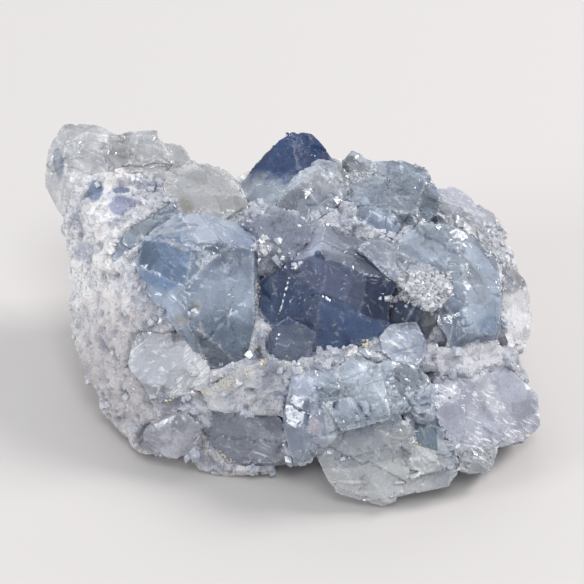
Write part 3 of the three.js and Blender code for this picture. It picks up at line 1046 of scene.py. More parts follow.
@dataclass
class FacetedSolid:
    """The flat faces and sharp edges of a CAD node, to snap a fine mesh to."""

    facets: list[Facet]
    ridges: list[Ridge]
    tree: BVHTree
    outer: KDTree
    inner: KDTree

    SHARP_ANGLE = math.radians(9)
    POINT_GAP = 0.3

    @classmethod
    def of(cls, node: str) -> FacetedSolid:
        """Reads a CAD node's faces and edges.

        Args:
            node: The CAD node.
        Returns:
            Its flat faces, each in one, and its sharp edges.
        """
        shape = merged_solid(node)
        bmesh.ops.dissolve_limit(shape, angle_limit=CAD_CREASE, verts=shape.verts, edges=shape.edges)
        shape.faces.ensure_lookup_table()
        facets = []
        for face in shape.faces:
            corners = [np.array(loop.vert.co) / MM for loop in face.loops]
            sides = tuple(zip(corners, corners[1:] + corners[:1]))
            level = float(np.dot(face.normal, face.verts[0].co)) / MM
            facets.append(Facet(np.array(face.normal), level, face.calc_area() / MM**2, sides))
        ridges, outer, inner = [], [], []
        for edge in shape.edges:
            if not edge.is_manifold or edge.calc_face_angle(0.0) < cls.SHARP_ANGLE:
                continue
            start, end = (np.array(vert.co) / MM for vert in edge.verts)
            along = np.linspace(start, end, max(2, int(np.linalg.norm(end - start) / cls.POINT_GAP)))
            if edge.is_convex:
                outer.extend(along)
                ridges.append(Ridge(start, end, tuple(np.array(face.normal) for face in edge.link_faces)))
            else:
                inner.extend(along)
        tree = BVHTree.FromBMesh(shape)
        shape.free()
        return cls(facets, ridges, tree, cls._tree_of(outer), cls._tree_of(inner))

    @staticmethod
    def _tree_of(points: Sequence[np.ndarray]) -> KDTree:
        """Makes a search tree of points.

        Args:
            points: The points, or none.
        Returns:
            The tree. Without points it holds one that is far from everything.
        """
        tree = KDTree(max(1, len(points)))
        for k, point in enumerate(points or [(1e3, 1e3, 1e3)]):
            tree.insert(point, k)
        tree.balance()
        return tree

    def survey(self, points: np.ndarray) -> tuple[np.ndarray, np.ndarray, np.ndarray, np.ndarray]:
        """Finds where points are on the solid.

        Args:
            points: The points, in millimetres.
        Returns:
            The nearest place on the solid, the facet's number, and the distances from it to the
            nearest outer edge and to the nearest inner edge.
        """
        feet = np.empty((len(points), 3))
        facet = np.empty(len(points), int)
        to_outer = np.empty(len(points))
        to_inner = np.empty(len(points))
        for k, point in enumerate(points):
            foot, _normal, index, _gap = self.tree.find_nearest(Vector(point) * MM)
            foot = foot / MM
            feet[k], facet[k] = foot, index
            to_outer[k] = self.outer.find(foot)[2]
            to_inner[k] = self.inner.find(foot)[2]
        return feet, facet, to_outer, to_inner


def unit(vector: np.ndarray) -> np.ndarray:
    """A vector's direction."""
    return vector / max(float(np.linalg.norm(vector)), 1e-9)


@dataclass
class Crystal:
    """One crystal, or one set of crystals grown together."""

    node: str
    finish: CrystalFinish
    relief: Relief = field(default_factory=Relief)
    zones: tuple[ColourZone, ...] = ()
    seed: int = 1
    cell: float = 0.32
    swell: float = 0.22

    SMALL_FACET = 12
    LARGE_CHIPS = 0.08
    SEAM_REACH = 3.0
    SEAM_FULL = 1.6
    LARGEST_GROWTH = 0.85
    CRUST_SPAN = (0.35, 1.5)
    LOWEST = 0.1
    SHARPEST = 13
    RELIEF_SPAN = (0.0, 0.6)
    ROUGHNESS = 0.25
    OPEN_SPAN = (0.45, 0.9)
    SEAM_START = (0.45, 0.8)
    SEAM_END = (1.0, 1.9)
    WORN_SPAN = (0.1, 0.8)
    CREST_SPAN = (0.05, 0.4)
    UPWARDS_SPAN = (0.15, 0.45)

    def _steps(self, points: np.ndarray, solid: FacetedSolid) -> np.ndarray:
        """Cuts cleavage steps along the sides of the larger facets.

        Args:
            points: The crystal's surface, in millimetres.
            solid: Its flat faces.
        Returns:
            The surface with the steps cut.
        """
        rng = np.random.default_rng(self.seed)
        noise = Noise(self.seed + 40)
        for number, facet in enumerate(solid.facets):
            if facet.area < self.SMALL_FACET:
                continue
            lengths = np.array([np.linalg.norm(end - start) for start, end in facet.sides])
            chances = lengths**2 / np.sum(lengths**2)
            for _ in range(rng.integers(0, self.relief.steps + 1)):
                start, end = facet.sides[rng.choice(len(lengths), p=chances)]
                along = unit(end - start)
                inwards = np.cross(facet.normal, along)
                width = max(float((corner - start) @ inwards) for side in facet.sides for corner in side)
                place = points - start
                run = place @ along
                wander = noise.smooth(np.stack([run / 3.1, run * 0 + number, run * 0], -1))
                notch = np.floor(2.5 * noise.smooth(np.stack([run / 1.7, run * 0, run * 0 + number], -1)))
                line = rng.uniform(0.1, 0.55) * width + 0.35 * wander + 0.4 * notch
                inside = 1 - fade(place @ inwards - line, 0.0, 0.2)
                depth = self.relief.step * rng.uniform(0.5, 1.6)
                height = points @ facet.normal - facet.level
                above = np.where(height < 0.3, np.maximum(height + depth * inside, 0), 0) * (inside > 0)
                points = points - above[:, None] * facet.normal
        return points

    def _chips(self, points: np.ndarray, solid: FacetedSolid) -> np.ndarray:
        """Knocks small flat chips off the outer edges.

        Args:
            points: The crystal's surface, in millimetres.
            solid: Its edges.
        Returns:
            The surface with the chips gone.
        """
        rng = np.random.default_rng(self.seed + 1)
        for ridge in solid.ridges:
            along = unit(ridge.end - ridge.start)
            for _ in range(rng.poisson(ridge.length() / self.relief.chip_spacing)):
                spot = ridge.start + (ridge.end - ridge.start) * rng.uniform(0, 1)
                share = rng.uniform(0.25, 0.75)
                lean = ridge.normals[0] * share + ridge.normals[1] * (1 - share)
                normal = unit(lean + along * rng.normal(0, 0.25) + rng.normal(0, 0.12, 3))
                large = rng.uniform() < self.LARGE_CHIPS
                depth = self.relief.corner if large else self.relief.chip
                depth *= rng.uniform(0.3, 1.2)
                reach = rng.uniform(1.5, 3.5) * (1.6 if large else 1.0)
                near = 1 - fade(np.linalg.norm(points - spot, axis=1), 0.75 * reach, reach)
                height = (points - spot) @ normal
                above = np.where(height < 0.4, np.maximum(height + depth * near, 0), 0) * (near > 0)
                points = points - above[:, None] * normal
        return points

    def _relief(self, points: np.ndarray) -> np.ndarray:
        """Works out the fine relief.

        Args:
            points: Places on the crystal, in millimetres.
        Returns:
            How far the relief stands off the surface at each place, in millimetres.
        """
        r = self.relief
        local = FACE.to_face(points)
        noise = Noise(self.seed)
        hills = noise.layered(local / r.hill_spacing + 40, 2) * r.TERRACES
        terrace = np.floor(hills) + fade(hills - np.floor(hills), *r.TERRACE_RISE)
        height = r.hill * (terrace / 2 + 0.4 * hills)
        if r.ripple:
            wave = np.linalg.norm(local * r.RIPPLE_STRETCH - r.RIPPLE_CENTRE, axis=1)
            wave += r.RIPPLE_BEND * noise.layered(local / 11 + 9, 3)
            patch = fade(noise.smooth(local / 9 + 70), *r.RIPPLED)
            height += r.ripple * patch * np.sin(2 * math.pi * wave / r.ripple_spacing)
        return height + r.etch * noise.layered(local / r.ETCH_SIZE, 2)

    def build(self, nodes: Sequence[str]) -> bpy.types.Object:
        """Makes the crystal's fine mesh and its material.

        Args:
            nodes: All the CAD nodes, to find the seams with.
        Returns:
            The crystal.
        """
        solid = FacetedSolid.of(self.node)
        obj = remeshed(self.node, self.node + "_skin", self.cell, sharp=True)
        mesh = obj.data
        feet, facet, to_outer, to_inner = solid.survey(points_of(mesh))
        cut = self._chips(self._steps(feet, solid), solid)
        move_points(mesh, cut)
        outwards = normals_of(mesh)
        neighbours = nearness_tree([node for node in nodes if node != self.node])
        gap, towards = nearest(neighbours, feet, self.SEAM_REACH)
        crust = 1 - fade(gap, *self.CRUST_SPAN)
        rough = crust * np.abs(Noise(self.seed + 3).layered(feet / 0.9, 2))
        inside = fade(to_outer, *self.RELIEF_SPAN)
        away = self.swell + self._relief(feet) * inside + self.ROUGHNESS * rough
        grown = np.minimum(0.5 * gap + 0.1, self.LARGEST_GROWTH)
        grown *= 1 - fade(gap, self.SEAM_FULL, self.SEAM_REACH)
        shaped = cut + outwards * away[:, None] + towards * grown[:, None]
        shaped[:, 2] = np.maximum(shaped[:, 2], self.LOWEST)
        move_points(mesh, shaped)
        self._mark_edges(mesh, feet, to_outer, to_inner)
        add_value(mesh, "crust", crust)
        self._mark_facets(mesh, facet, solid)
        add_value(mesh, "open", fade(gap, *self.OPEN_SPAN))
        add_value(mesh, "seam", fade(gap, *self.SEAM_START) * (1 - fade(gap, *self.SEAM_END)))
        shade_smooth(mesh, self.SHARPEST)
        material = self.finish.material(self.node + "_finish", self.zones)
        return dress(obj, material, self.finish.slot, self.node)

    def _mark_edges(
        self, mesh: bpy.types.Mesh, feet: np.ndarray, to_outer: np.ndarray, to_inner: np.ndarray
    ) -> None:
        """Stores where the crystal's edges are worn and frosted.

        Args:
            mesh: The crystal's mesh.
            feet: The nearest place on the solid to each vertex, in millimetres.
            to_outer: How far each place is from an outer edge.
            to_inner: How far each place is from an inner edge.
        """
        broken = Blotches(self.seed + 500, 2.4, 3, (-0.2, 0.5)).over(feet)
        worn = (1 - fade(to_outer, *self.WORN_SPAN)) * broken
        crest = 0.8 * (1 - fade(to_outer, *self.CREST_SPAN))
        nook = 0.7 * (1 - fade(to_inner, *self.WORN_SPAN))
        add_value(mesh, "edge_wear", np.clip(np.maximum(np.maximum(worn, crest), nook), 0, 1))

    def _mark_facets(self, mesh: bpy.types.Mesh, facet: np.ndarray, solid: FacetedSolid) -> None:
        """Stores a random tone for each facet, and how far it looks up the growth face, which sets its
        painted sky reflection, or on darker finishes its painted shade.

        Args:
            mesh: The crystal's mesh.
            facet: The number of each vertex's facet.
            solid: The crystal's facets.
        """
        cell = np.stack([facet, facet * 0, facet * 0], -1) + 300
        add_value(mesh, "facet_tone", Noise(self.seed + 9).random(cell))
        upwards = np.array([facet.normal for facet in solid.facets]) @ FACE.turn()
        add_value(mesh, "upwards", fade(upwards[facet, 1], *self.UPWARDS_SPAN))


# ---------------------------------------------------------------- matrix


@dataclass(frozen=True)
class MatrixFinish:
    """The sugary rock: white outside, grey and glassy between the crystals."""

    white: Colour = (0.94, 0.92, 0.905)
    grey: Colour = (0.56, 0.565, 0.615)
    dark: Colour = (0.20, 0.21, 0.28)
    blue: Colour = (0.54, 0.59, 0.70)
    warm: Colour = (0.86, 0.80, 0.78)
    glassy: Colour = (0.48, 0.52, 0.63)
    frosted: Colour = (0.90, 0.90, 0.94)
    growth_edge: Pair = (-29.0, -23.0)
    zones: tuple[ColourZone, ...] = (
        # Painted shade: the lower left flank, which turns under, is darkened.
        ColourZone((-35, -17, 0), (12, 13, 16), (0.50, 0.465, 0.48), 0.75, 0.5),
        ColourZone((36, -13, 8), (11, 6, 9), (0.88, 0.88, 0.94), 0.75, 0.4),
        ColourZone((31.5, -17.0, 10), (2.4, 1.8, 8), (0.42, 0.44, 0.60), 0.8, 0.3),
        ColourZone((-5.5, -17.5, 12), (2.2, 1.6, 8), (0.34, 0.37, 0.52), 0.8, 0.3),
        ColourZone((-3.8, -14.8, 12), (2.0, 1.6, 8), (0.36, 0.38, 0.52), 0.8, 0.4),
        ColourZone((-2.0, -19.8, 12), (2.2, 0.7, 8), (0.28, 0.30, 0.42), 0.9, 0.3),
        ColourZone((-24.6, -21.0, 8), (4.0, 1.1, 12), (0.28, 0.30, 0.40), 0.85, 0.4, -0.2),
        ColourZone((-10.6, -22.6, 10), (9.0, 0.7, 12), (0.97, 0.96, 0.98), 0.95, 0.3, -0.155),
        ColourZone((-19.6, -19.6, 8), (3.0, 1.2, 12), (0.96, 0.95, 0.96), 0.9, 0.4),
        ColourZone((35.0, -12.8, 10), (8.0, 2.2, 12), (0.95, 0.94, 1.0), 0.8, 0.5),
        ColourZone((-2.5, 10.5, 10), (9, 8, 12), (0.19, 0.22, 0.31), 0.9),
        ColourZone((-5.8, 8.3, 11), (2.2, 1.2, 6), (0.84, 0.84, 0.86), 0.8, 0.2, 0.5),
        ColourZone((-12, -18.0, 12), (8, 5.5, 8), (0.90, 0.90, 0.93), 0.6),
        ColourZone((-39.6, 20.2, -3), (1.7, 2.3, 8), (0.22, 0.29, 0.42), 1.0, 0.15),
        ColourZone((-34.0, 20.4, -2), (1.9, 0.7, 8), (0.17, 0.21, 0.33), 1.0, 0.15),
        ColourZone((-33.7, 17.2, -1), (2.8, 2.1, 8), (0.32, 0.34, 0.48), 1.0, 0.15),
        ColourZone((-41.5, 8, -4), (2.6, 2.2, 9), (0.36, 0.39, 0.50), 0.6, 0.3),
        ColourZone((45, 5, -6), (7, 16, 14), (0.88, 0.88, 0.93), 0.75),
    )

    BROAD = Pattern(0.11, 4.0, 0.8)
    MIDDLE = Pattern(0.45, 5.0, 1.2, 0.65)
    FINE = Pattern(2.0, 5.0, 0.5, 0.75)
    THREADS = Pattern(1.0, 3.0, 0.8, 0.6, (0.54, 0.64))
    WINDOWS = Pattern(0.4, 2.0, 1.0, span=(0.52, 0.60))
    LUMPS = Pattern(1.1, 6.0, 0.8, 0.7)
    EDGE_WANDER = Pattern(0.2, 3.0)
    EDGE_WANDER_REACH = 8.0
    EDGE_LEVEL = (-7.0, -1.0)
    SUGARY = (0.43, 0.53)
    BLUISH = (0.52, 0.72, 0.0, 0.55)
    WARMISH = (0.50, 0.36, 0.0, 0.7)
    FROSTY = (0.44, 0.55)
    DARK_GRAINS = (0.2, 0.8, 0.25, 0.0)
    SHADED_GAPS = (0.33, 0.43, 0.8, 0.0)
    WHITE_TIPS = (0.58, 0.68, 0.0, 0.7)
    DARK_DOTS = (0.7, 0.2, 0.25)
    DULLNESS = (0.3, 0.7, 0.15, 0.7)
    LUMP_DEPTH = 0.3
    GRAIN_DEPTH = 0.18
    IOR = 1.6

    def _growth(self, n: MaterialNodes) -> Wire:
        """Where the rock lies between the crystals, on the growth face.

        Args:
            n: The material's nodes.
        Returns:
            1 there and 0 on the outer rock.
        """
        x, _, z = n.add("ShaderNodeSeparateXYZ", {0: n.place}).outputs
        wander = n.math("ADD", x, n.noise(self.EDGE_WANDER) * self.EDGE_WANDER_REACH)
        return n.fade(wander, *self.growth_edge) * n.fade(z, *self.EDGE_LEVEL) * n.attribute("open")

    def material(self) -> bpy.types.Material:
        """Makes the matrix's material.

        Returns:
            The material.
        """
        n = MaterialNodes.start("matrix_finish")
        broad, middle, fine = (n.noise(pattern) for pattern in (self.BROAD, self.MIDDLE, self.FINE))
        grain = n.attribute("grain_tone")
        growth = self._growth(n)
        sugary = middle * 0.55 + fine * 0.35 + grain * 0.10
        colour = n.mix(n.fade(sugary, *self.SUGARY), self.grey, self.white)
        colour = n.mix(n.fade(broad, *self.BLUISH), colour, self.blue)
        colour = n.mix(n.fade(broad, *self.WARMISH), colour, self.warm)
        frost = n.fade(fine * 0.6 + middle * 0.4, *self.FROSTY)
        frost = frost | n.patch(self.THREADS, n.stretched(n.place, (4.0, 0.7, 2.0), (0, 0, 0.5)))
        frost = frost * n.math("SUBTRACT", 1.0, n.patch(self.WINDOWS) * 0.75)
        colour = n.mix(growth, colour, n.mix(frost, self.glassy, self.frosted))
        colour = n.zoned(colour, self.zones)
        colour = n.mix(n.fade(grain, *self.DARK_GRAINS), colour, self.dark)
        # Painted shade: where the fine grain relief is low, between the sugar grains, the rock is darkened.
        colour = n.mix(n.fade(fine, *self.SHADED_GAPS), colour, self.dark)
        colour = n.mix(n.fade(fine, *self.WHITE_TIPS), colour, self.white)
        colour = n.mix(n.dots(*self.DARK_DOTS) * 0.7, colour, self.dark)
        n.shade(
            # Painted shade: the pits that are cut into the rock are darkened in colour too.
            Base_Color=n.mix(n.attribute("pit") * 0.6, colour, self.dark),
            Roughness=n.fade(fine, *self.DULLNESS),
            Transmission_Weight=growth * 0.3,
            IOR=self.IOR,
        )
        n.bump((n.noise(self.LUMPS), self.LUMP_DEPTH), (fine, self.GRAIN_DEPTH))
        return n.material


@dataclass
class Matrix:
    """The rock that the crystals grow from."""

    node: str = "matrix"
    finish: MatrixFinish = field(default_factory=MatrixFinish)
    cell: float = 0.56
    swell: float = 0.2
    lump: float = 0.4
    block: float = 0.8
    grit: float = 0.45
    pit: float = 0.6
    creep: float = 0.9
    fills: tuple[tuple[Triple, float], ...] = (((-18.6, -22.3, 6.0), 5.0), ((20.0, -14.5, 12.0), 1.5))
    fill_reach: float = 4.0
    seed: int = 60

    SEAM_REACH = 3.0
    BASE_TOP = 0.3
    BASE_SPAN = (BASE_TOP, 1.6)
    SHARPEST = 28
    BEND = 0.5
    BEND_SIZE = 2.2
    LUMP_SIZE = 6
    BLOCK_SIZE = 3.4
    GRIT_SIZE = 1.35
    PIT_SIZE = 2.6
    PIT_SPAN = (0.30, 0.62)
    RELIEF_SPAN = (0.4, 1.6)
    CREEP_START = (0.4, 0.8)
    CREEP_END = (1.0, 2.8)
    FILL_SPAN = (0.35, 0.6)
    OPEN_SPAN = (0.5, 1.0)
    OPEN_RISE = (1.5, 3.0)
    SEAM_START = (0.3, 0.9)
    SEAM_END = (1.4, 2.8)

    def build(self, nodes: Sequence[str]) -> bpy.types.Object:
        """Makes the matrix's fine mesh and its material.

        Args:
            nodes: All the CAD nodes, to find the seams with.
        Returns:
            The matrix.
        """
        obj = remeshed(self.node, "matrix_rock", self.cell, sharp=False)
        mesh = obj.data
        points = points_of(mesh)
        normals = normals_of(mesh)
        neighbours = nearness_tree([node for node in nodes if node != self.node])
        gap, _towards = nearest(neighbours, points, self.SEAM_REACH)
        noise = Noise(self.seed)
        shift = [Noise(self.seed + k).smooth(points / self.BEND_SIZE) for k in range(3)]
        bent = points + self.BEND * np.stack(shift, -1)
        blocks, block_tone = Noise(self.seed + 5).facets(bent / self.BLOCK_SIZE)
        grit, grit_tone = Noise(self.seed + 6).facets(bent / self.GRIT_SIZE)
        pits = Blotches(self.seed + 1, self.PIT_SIZE, 1, self.PIT_SPAN).over(points)
        height = self.lump * noise.layered(points / self.LUMP_SIZE, 2) + self.block * blocks
        height = height + self.grit * grit - self.pit * pits
        height *= fade(gap, *self.RELIEF_SPAN)
        height += self.creep * fade(gap, *self.CREEP_START) * (1 - fade(gap, *self.CREEP_END))
        for spot, rise in self.fills:
            away = np.linalg.norm(points - FACE.to_world(spot), axis=1)
            rim = 1 - fade(away, 0.4 * self.fill_reach, self.fill_reach)
            height += rise * fade(gap, *self.FILL_SPAN) * rim
        off_base = fade(points[:, 2], *self.BASE_SPAN)
        base = points[:, 2] < self.BASE_TOP
        points += normals * ((height + self.swell) * off_base)[:, None]
        points[:, 2] = np.where(base, np.minimum(points[:, 2], self.BASE_TOP), points[:, 2])
        points[:, 2] = np.maximum(points[:, 2], 0.0)
        move_points(mesh, points)
        add_value(mesh, "grain_tone", 0.5 * block_tone + 0.5 * grit_tone)
        # The pit weights also drive painted shade in the matrix's material.
        add_value(mesh, "pit", pits)
        add_value(mesh, "open", fade(gap, *self.OPEN_SPAN) * fade(points[:, 2], *self.OPEN_RISE))
        add_value(mesh, "seam", fade(gap, *self.SEAM_START) * (1 - fade(gap, *self.SEAM_END)))
        shade_smooth(mesh, self.SHARPEST)
        return dress(obj, self.finish.material(), Slot.MATRIX, self.node)


# ---------------------------------------------------------------- grains


@dataclass(frozen=True)
class GrainFinish:
    """How loose grains look."""

    slot: Slot
    light: Colour
    dark: Colour
    clearness: float
    gloss: float

    TONES = Pattern(1.3, 4.0, 0.5, 0.75)
    IOR = 1.6

    def material(self, name: str) -> bpy.types.Material:
        """Makes the grains' material.

        Args:
            name: The material's name.
        Returns:
            The material.
        """
        n = MaterialNodes.start(name)
        tone = n.noise(self.TONES)
        n.shade(
            Base_Color=n.mix(n.fade(tone, 0.35, 0.65), self.dark, self.light),
            Roughness=n.fade(tone, 0.3, 0.7, self.gloss, self.gloss + 0.3),
            Transmission_Weight=self.clearness,
            IOR=self.IOR,
        )
        return n.material


class GrainShape(Enum):
    """The habits of small grains."""

    LUMP = "lump"
    CHISEL = "chisel"

    def corners(self, rng: np.random.Generator) -> np.ndarray:
        """Picks the corners of one grain.

        Args:
            rng: The source of random numbers.
        Returns:
            The corners of a grain about a millimetre across, in millimetres.
        """
        if self is GrainShape.LUMP:
            ball = rng.normal(0, 1, (8, 3))
            ball /= np.linalg.norm(ball, axis=1)[:, None]
            return 0.5 * ball * [1, rng.uniform(0.6, 1.0), 0.8]
        wide, thick, tall = rng.uniform(0.3, 0.5), rng.uniform(0.22, 0.42), rng.uniform(0.2, 0.45)
        foot = [(x * wide, y * thick, z) for x in (-1, 1) for y in (-1, 1) for z in (-0.35, tall)]
        ridge = [(x * wide * rng.uniform(0.3, 1), 0.15 * rng.normal(), tall + 0.25) for x in (-1, 1)]
        return np.array(foot + ridge) + rng.normal(0, 0.02, (10, 3))


@dataclass(frozen=True)
class GrainField:
    """Small crystals scattered over the surfaces, by Geometry Nodes."""

    name: str
    finish: GrainFinish
    weight: str
    shape: GrainShape
    per_mm2: float
    smallest: float
    largest: float
    seed: int

    SHAPES = 5
    LOWEST = 0.05
    TILT = 0.8
    RARITY = 2.5

    def _shapes(self) -> bpy.types.Collection:
        """Makes a few grains a millimetre across, for the scatter to pick from.

        Returns:
            The grains.
        """
        rng = np.random.default_rng(self.seed)
        shapes = bpy.data.collections.new(self.name + "_shapes")
        for k in range(self.SHAPES):
            shape = bmesh.new()
            for corner in self.shape.corners(rng):
                shape.verts.new(corner * MM)
            bmesh.ops.convex_hull(shape, input=shape.verts)
            mesh = bpy.data.meshes.new(f"{self.name}_shape_{k}")
            shape.to_mesh(mesh)
            shape.free()
            shapes.objects.link(bpy.data.objects.new(mesh.name, mesh))
        return shapes

    def _tree(self, shapes: bpy.types.Collection, material: bpy.types.Material) -> bpy.types.NodeTree:
        """Makes the scatter's node tree.

        Args:
            shapes: The grains to pick from.
            material: The grains' material.
        Returns:
            The tree, with inputs named Density, Smallest, Largest and Seed.
        """
        tree = bpy.data.node_groups.new(self.name, "GeometryNodeTree")
        kinds = {"Geometry": "Geometry", "Density": "Float", "Smallest": "Float", "Largest": "Float"}
        for name, kind in {**kinds, "Seed": "Int"}.items():
            tree.interface.new_socket(name, in_out="INPUT", socket_type="NodeSocket" + kind)
        tree.interface.new_socket("Geometry", in_out="OUTPUT", socket_type="NodeSocketGeometry")
        n = Nodes(tree)
        given = n.add("NodeGroupInput").outputs
        weight = n.wire(
            "GeometryNodeInputNamedAttribute", {"Name": self.weight}, "Attribute", data_type="FLOAT"
        )
        points = n.add(
            "GeometryNodeDistributePointsOnFaces",
            {"Mesh": given["Geometry"], "Density": weight * given["Density"], "Seed": given["Seed"]},
        ).outputs
        spans = {"Min": (-self.TILT, -self.TILT, -math.pi), "Max": (self.TILT, self.TILT, math.pi)}
        any_way = n.wire(
            "FunctionNodeRandomValue", {"Seed": given["Seed"], **spans}, "Value", data_type="FLOAT_VECTOR"
        )
        turn = n.wire("FunctionNodeEulerToRotation", {"Euler": any_way})
        pose = n.wire(
            "FunctionNodeRotateRotation",
            {"Rotation": points["Rotation"], "Rotate By": turn},
            rotation_space="LOCAL",
        )
        other_seed = n.math("ADD", given["Seed"], 7)
        draw = n.wire("FunctionNodeRandomValue", {"Seed": other_seed}, 1, data_type="FLOAT")
        span = n.math("SUBTRACT", given["Largest"], given["Smallest"])
        size = n.math("ADD", given["Smallest"], span * n.math("POWER", draw, self.RARITY))
        grains = n.wire("GeometryNodeCollectionInfo", {"Collection": shapes, "Separate Children": True})
        placed = n.wire(
            "GeometryNodeInstanceOnPoints",
            {
                "Points": points["Points"],
                "Instance": grains,
                "Pick Instance": True,
                "Rotation": pose,
                "Scale": size,
            },
        )
        real = n.wire("GeometryNodeRealizeInstances", {"Geometry": placed})
        dressed = n.wire("GeometryNodeSetMaterial", {"Geometry": real, "Material": material})
        n.add("NodeGroupOutput", {"Geometry": dressed})
        return tree

    def build(self, hosts: Sequence[bpy.types.Object]) -> bpy.types.Object:
        """Scatters the grains over some pieces.

        Args:
            hosts: The pieces, each with the weight as an attribute.
        Returns:
            The grains, as one mesh.
        """
        ground = bmesh.new()
        for host in hosts:
            ground.from_mesh(host.data)
        mesh = bpy.data.meshes.new(self.name + "_ground")
        ground.to_mesh(mesh)
        ground.free()
        carrier = new_object(self.name + "_ground", mesh)
        shapes = self._shapes()
        material = self.finish.material(self.name + "_finish")
        tree = self._tree(shapes, material)
        scatter = carrier.modifiers.new("scatter", "NODES")
        scatter.node_group = tree
        values = {
            "Density": self.per_mm2 / MM**2,
            "Smallest": self.smallest,
            "Largest": self.largest,
            "Seed": self.seed,
        }
        for socket in tree.interface.items_tree:
            if socket.in_out == "INPUT" and socket.name in values:
                scatter[socket.identifier] = values[socket.name]
        obj = baked(carrier, self.name)
        for shape in list(shapes.objects):
            bpy.data.objects.remove(shape)
        bpy.data.collections.remove(shapes)
        points = points_of(obj.data)
        points[:, 2] = np.maximum(points[:, 2], self.LOWEST)
        move_points(obj.data, points)
        return dress(obj, material, self.finish.slot)


@dataclass(frozen=True)
class Vein:
    """A line along which grains gather, on the growth face."""

    start: Pair
    end: Pair
    width: float

    def weight(self, local: np.ndarray) -> np.ndarray:
        """Works out how near places are to the vein.

        Args:
            local: The places, in the growth face's frame.
        Returns:
            1 on the vein and 0 beyond its width.
        """
        start, end = np.array(self.start), np.array(self.end)
        along = end - start
        place = local[:, :2] - start
        share = np.clip(place @ along / (along @ along), 0, 1)
        gap = np.linalg.norm(place - share[:, None] * along, axis=1)
        return 1 - fade(gap, 0.3 * self.width, self.width)


@dataclass(frozen=True)
class SugarPatch:
    """A place on the growth face that is coated with fine crystals."""

    at: Pair
    size: Pair
    density: float

    def weight(self, local: np.ndarray) -> np.ndarray:
        """Works out how closely fine crystals stand at places.

        Args:
            local: The places, in the growth face's frame.
        Returns:
            The patch's density inside its uneven rim and 0 outside it.
        """
        reach = np.linalg.norm((local[:, :2] - np.array(self.at)) / np.array(self.size), axis=1)
        reach += 0.35 * Noise(90).smooth(local / 2.0)
        return self.density * (1 - fade(reach, 0.8, 1.1))


THICK = Blotches(80, 6, 3, (-0.1, 0.5))
BARE = Blotches(81, 3, 2, (-0.3, 0.3))
CREAM_CLUMPS = Blotches(82, 1.5, 1, (-0.4, 0.3))
SEAM_CLUMPS = Blotches(83, 4, 1, (-0.5, 0.2))
GLASS_CLUMPS = Blotches(84, 7, 1, (-0.1, 0.3))
FRONT_TILT = (0.0, 0.4)
FRONT_LEVEL = (-12.0, -8.0)
GROWTH_SIDE = (-33.0, -28.0)
GROWTH_LEVEL = (-7.0, -1.0)
CREAM_VEINS = (
    Vein((-16.9, -19.5), (-10.1, -16.8), 1.5),
    Vein((-10.1, -16.8), (-5.0, -13.2), 0.8),
    Vein((-1.4, -13.2), (1.6, -15.2), 1.2),
    Vein((12.0, -11.0), (16.5, -9.2), 1.1),
    Vein((-6.8, 1.8), (-6.9, -11.3), 0.5),
    Vein((-27.6, -20.5), (-23.0, -20.8), 0.9),
    Vein((-17.9, -29.8), (-12.0, -33.6), 1.1),
    Vein((23.8, -29.6), (24.9, -29.9), 0.9),
)
SUGAR_PATCHES = (
    SugarPatch((26.0, 0.6), (5.2, 3.8), 1.0),
    SugarPatch((19.3, -1.2), (2.2, 0.8), 0.4),
    SugarPatch((-6.0, 9.0), (2.0, 2.0), 0.4),
    SugarPatch((43.0, 10.0), (4.0, 5.0), 0.3),
)


def weigh_grains(mesh: bpy.types.Mesh) -> None:
    """Marks how closely each sort of grain stands on a piece.

    Args:
        mesh: The piece's mesh.
    """
    points = points_of(mesh)
    local = FACE.to_face(points)
    outwards = normals_of(mesh) @ FACE.turn()
    front = fade(outwards[:, 2], *FRONT_TILT) * fade(local[:, 2], *FRONT_LEVEL)
    clear, seam = value_of(mesh, "open"), value_of(mesh, "seam")
    rock = 1.0 if "grain_tone" in mesh.attributes else 0.0
    thick, bare = THICK.over(points), BARE.over(points)
    left = 1 - fade(local[:, 0], *GROWTH_SIDE) * fade(local[:, 2], *GROWTH_LEVEL)
    sugar = clear * rock * left * (0.2 + 0.8 * thick) + 0.15 * seam * thick
    add_value(mesh, "sugar", sugar * bare)
    add_value(mesh, "coat", sum(patch.weight(local) for patch in SUGAR_PATCHES) * front * clear)
    add_value(mesh, "nook", rock * seam * (1 - left) * SEAM_CLUMPS.over(points))
    cream = sum(vein.weight(local) for vein in CREAM_VEINS)
    add_value(mesh, "cream", cream * front * clear * CREAM_CLUMPS.over(points))
    glass = clear * rock * (1 - thick) * (1 - bare)
    add_value(mesh, "glass", glass * GLASS_CLUMPS.over(points))


COAT = GrainFinish(Slot.FROSTED, (0.95, 0.95, 0.96), (0.46, 0.48, 0.56), 0.3, 0.04)
SUGAR = GrainFinish(Slot.MATRIX, (0.93, 0.93, 0.94), (0.74, 0.75, 0.79), 0.3, 0.1)
GLASS = GrainFinish(Slot.CLEAR, (0.90, 0.91, 0.94), (0.72, 0.75, 0.82), 0.35, 0.05)
SEAM = GrainFinish(Slot.FROSTED, (0.84, 0.86, 0.92), (0.60, 0.65, 0.77), 0.45, 0.06)
CREAM = GrainFinish(Slot.MATRIX, (0.86, 0.79, 0.62), (0.70, 0.62, 0.45), 0.1, 0.35)
GRAIN_FIELDS = (
    GrainField("sugar_grains", SUGAR, "sugar", GrainShape.LUMP, 2.2, 0.25, 0.9, 5),
    GrainField("glass_grains", GLASS, "glass", GrainShape.CHISEL, 0.4, 0.5, 1.8, 6),
    GrainField("seam_grains", SEAM, "nook", GrainShape.CHISEL, 0.4, 0.5, 2.2, 8),
    GrainField("coat_grains", COAT, "coat", GrainShape.CHISEL, 6.0, 0.35, 1.5, 9),
    GrainField("cream_grains", CREAM, "cream", GrainShape.LUMP, 14.0, 0.2, 0.8, 7),
)


# ---------------------------------------------------------------- veils


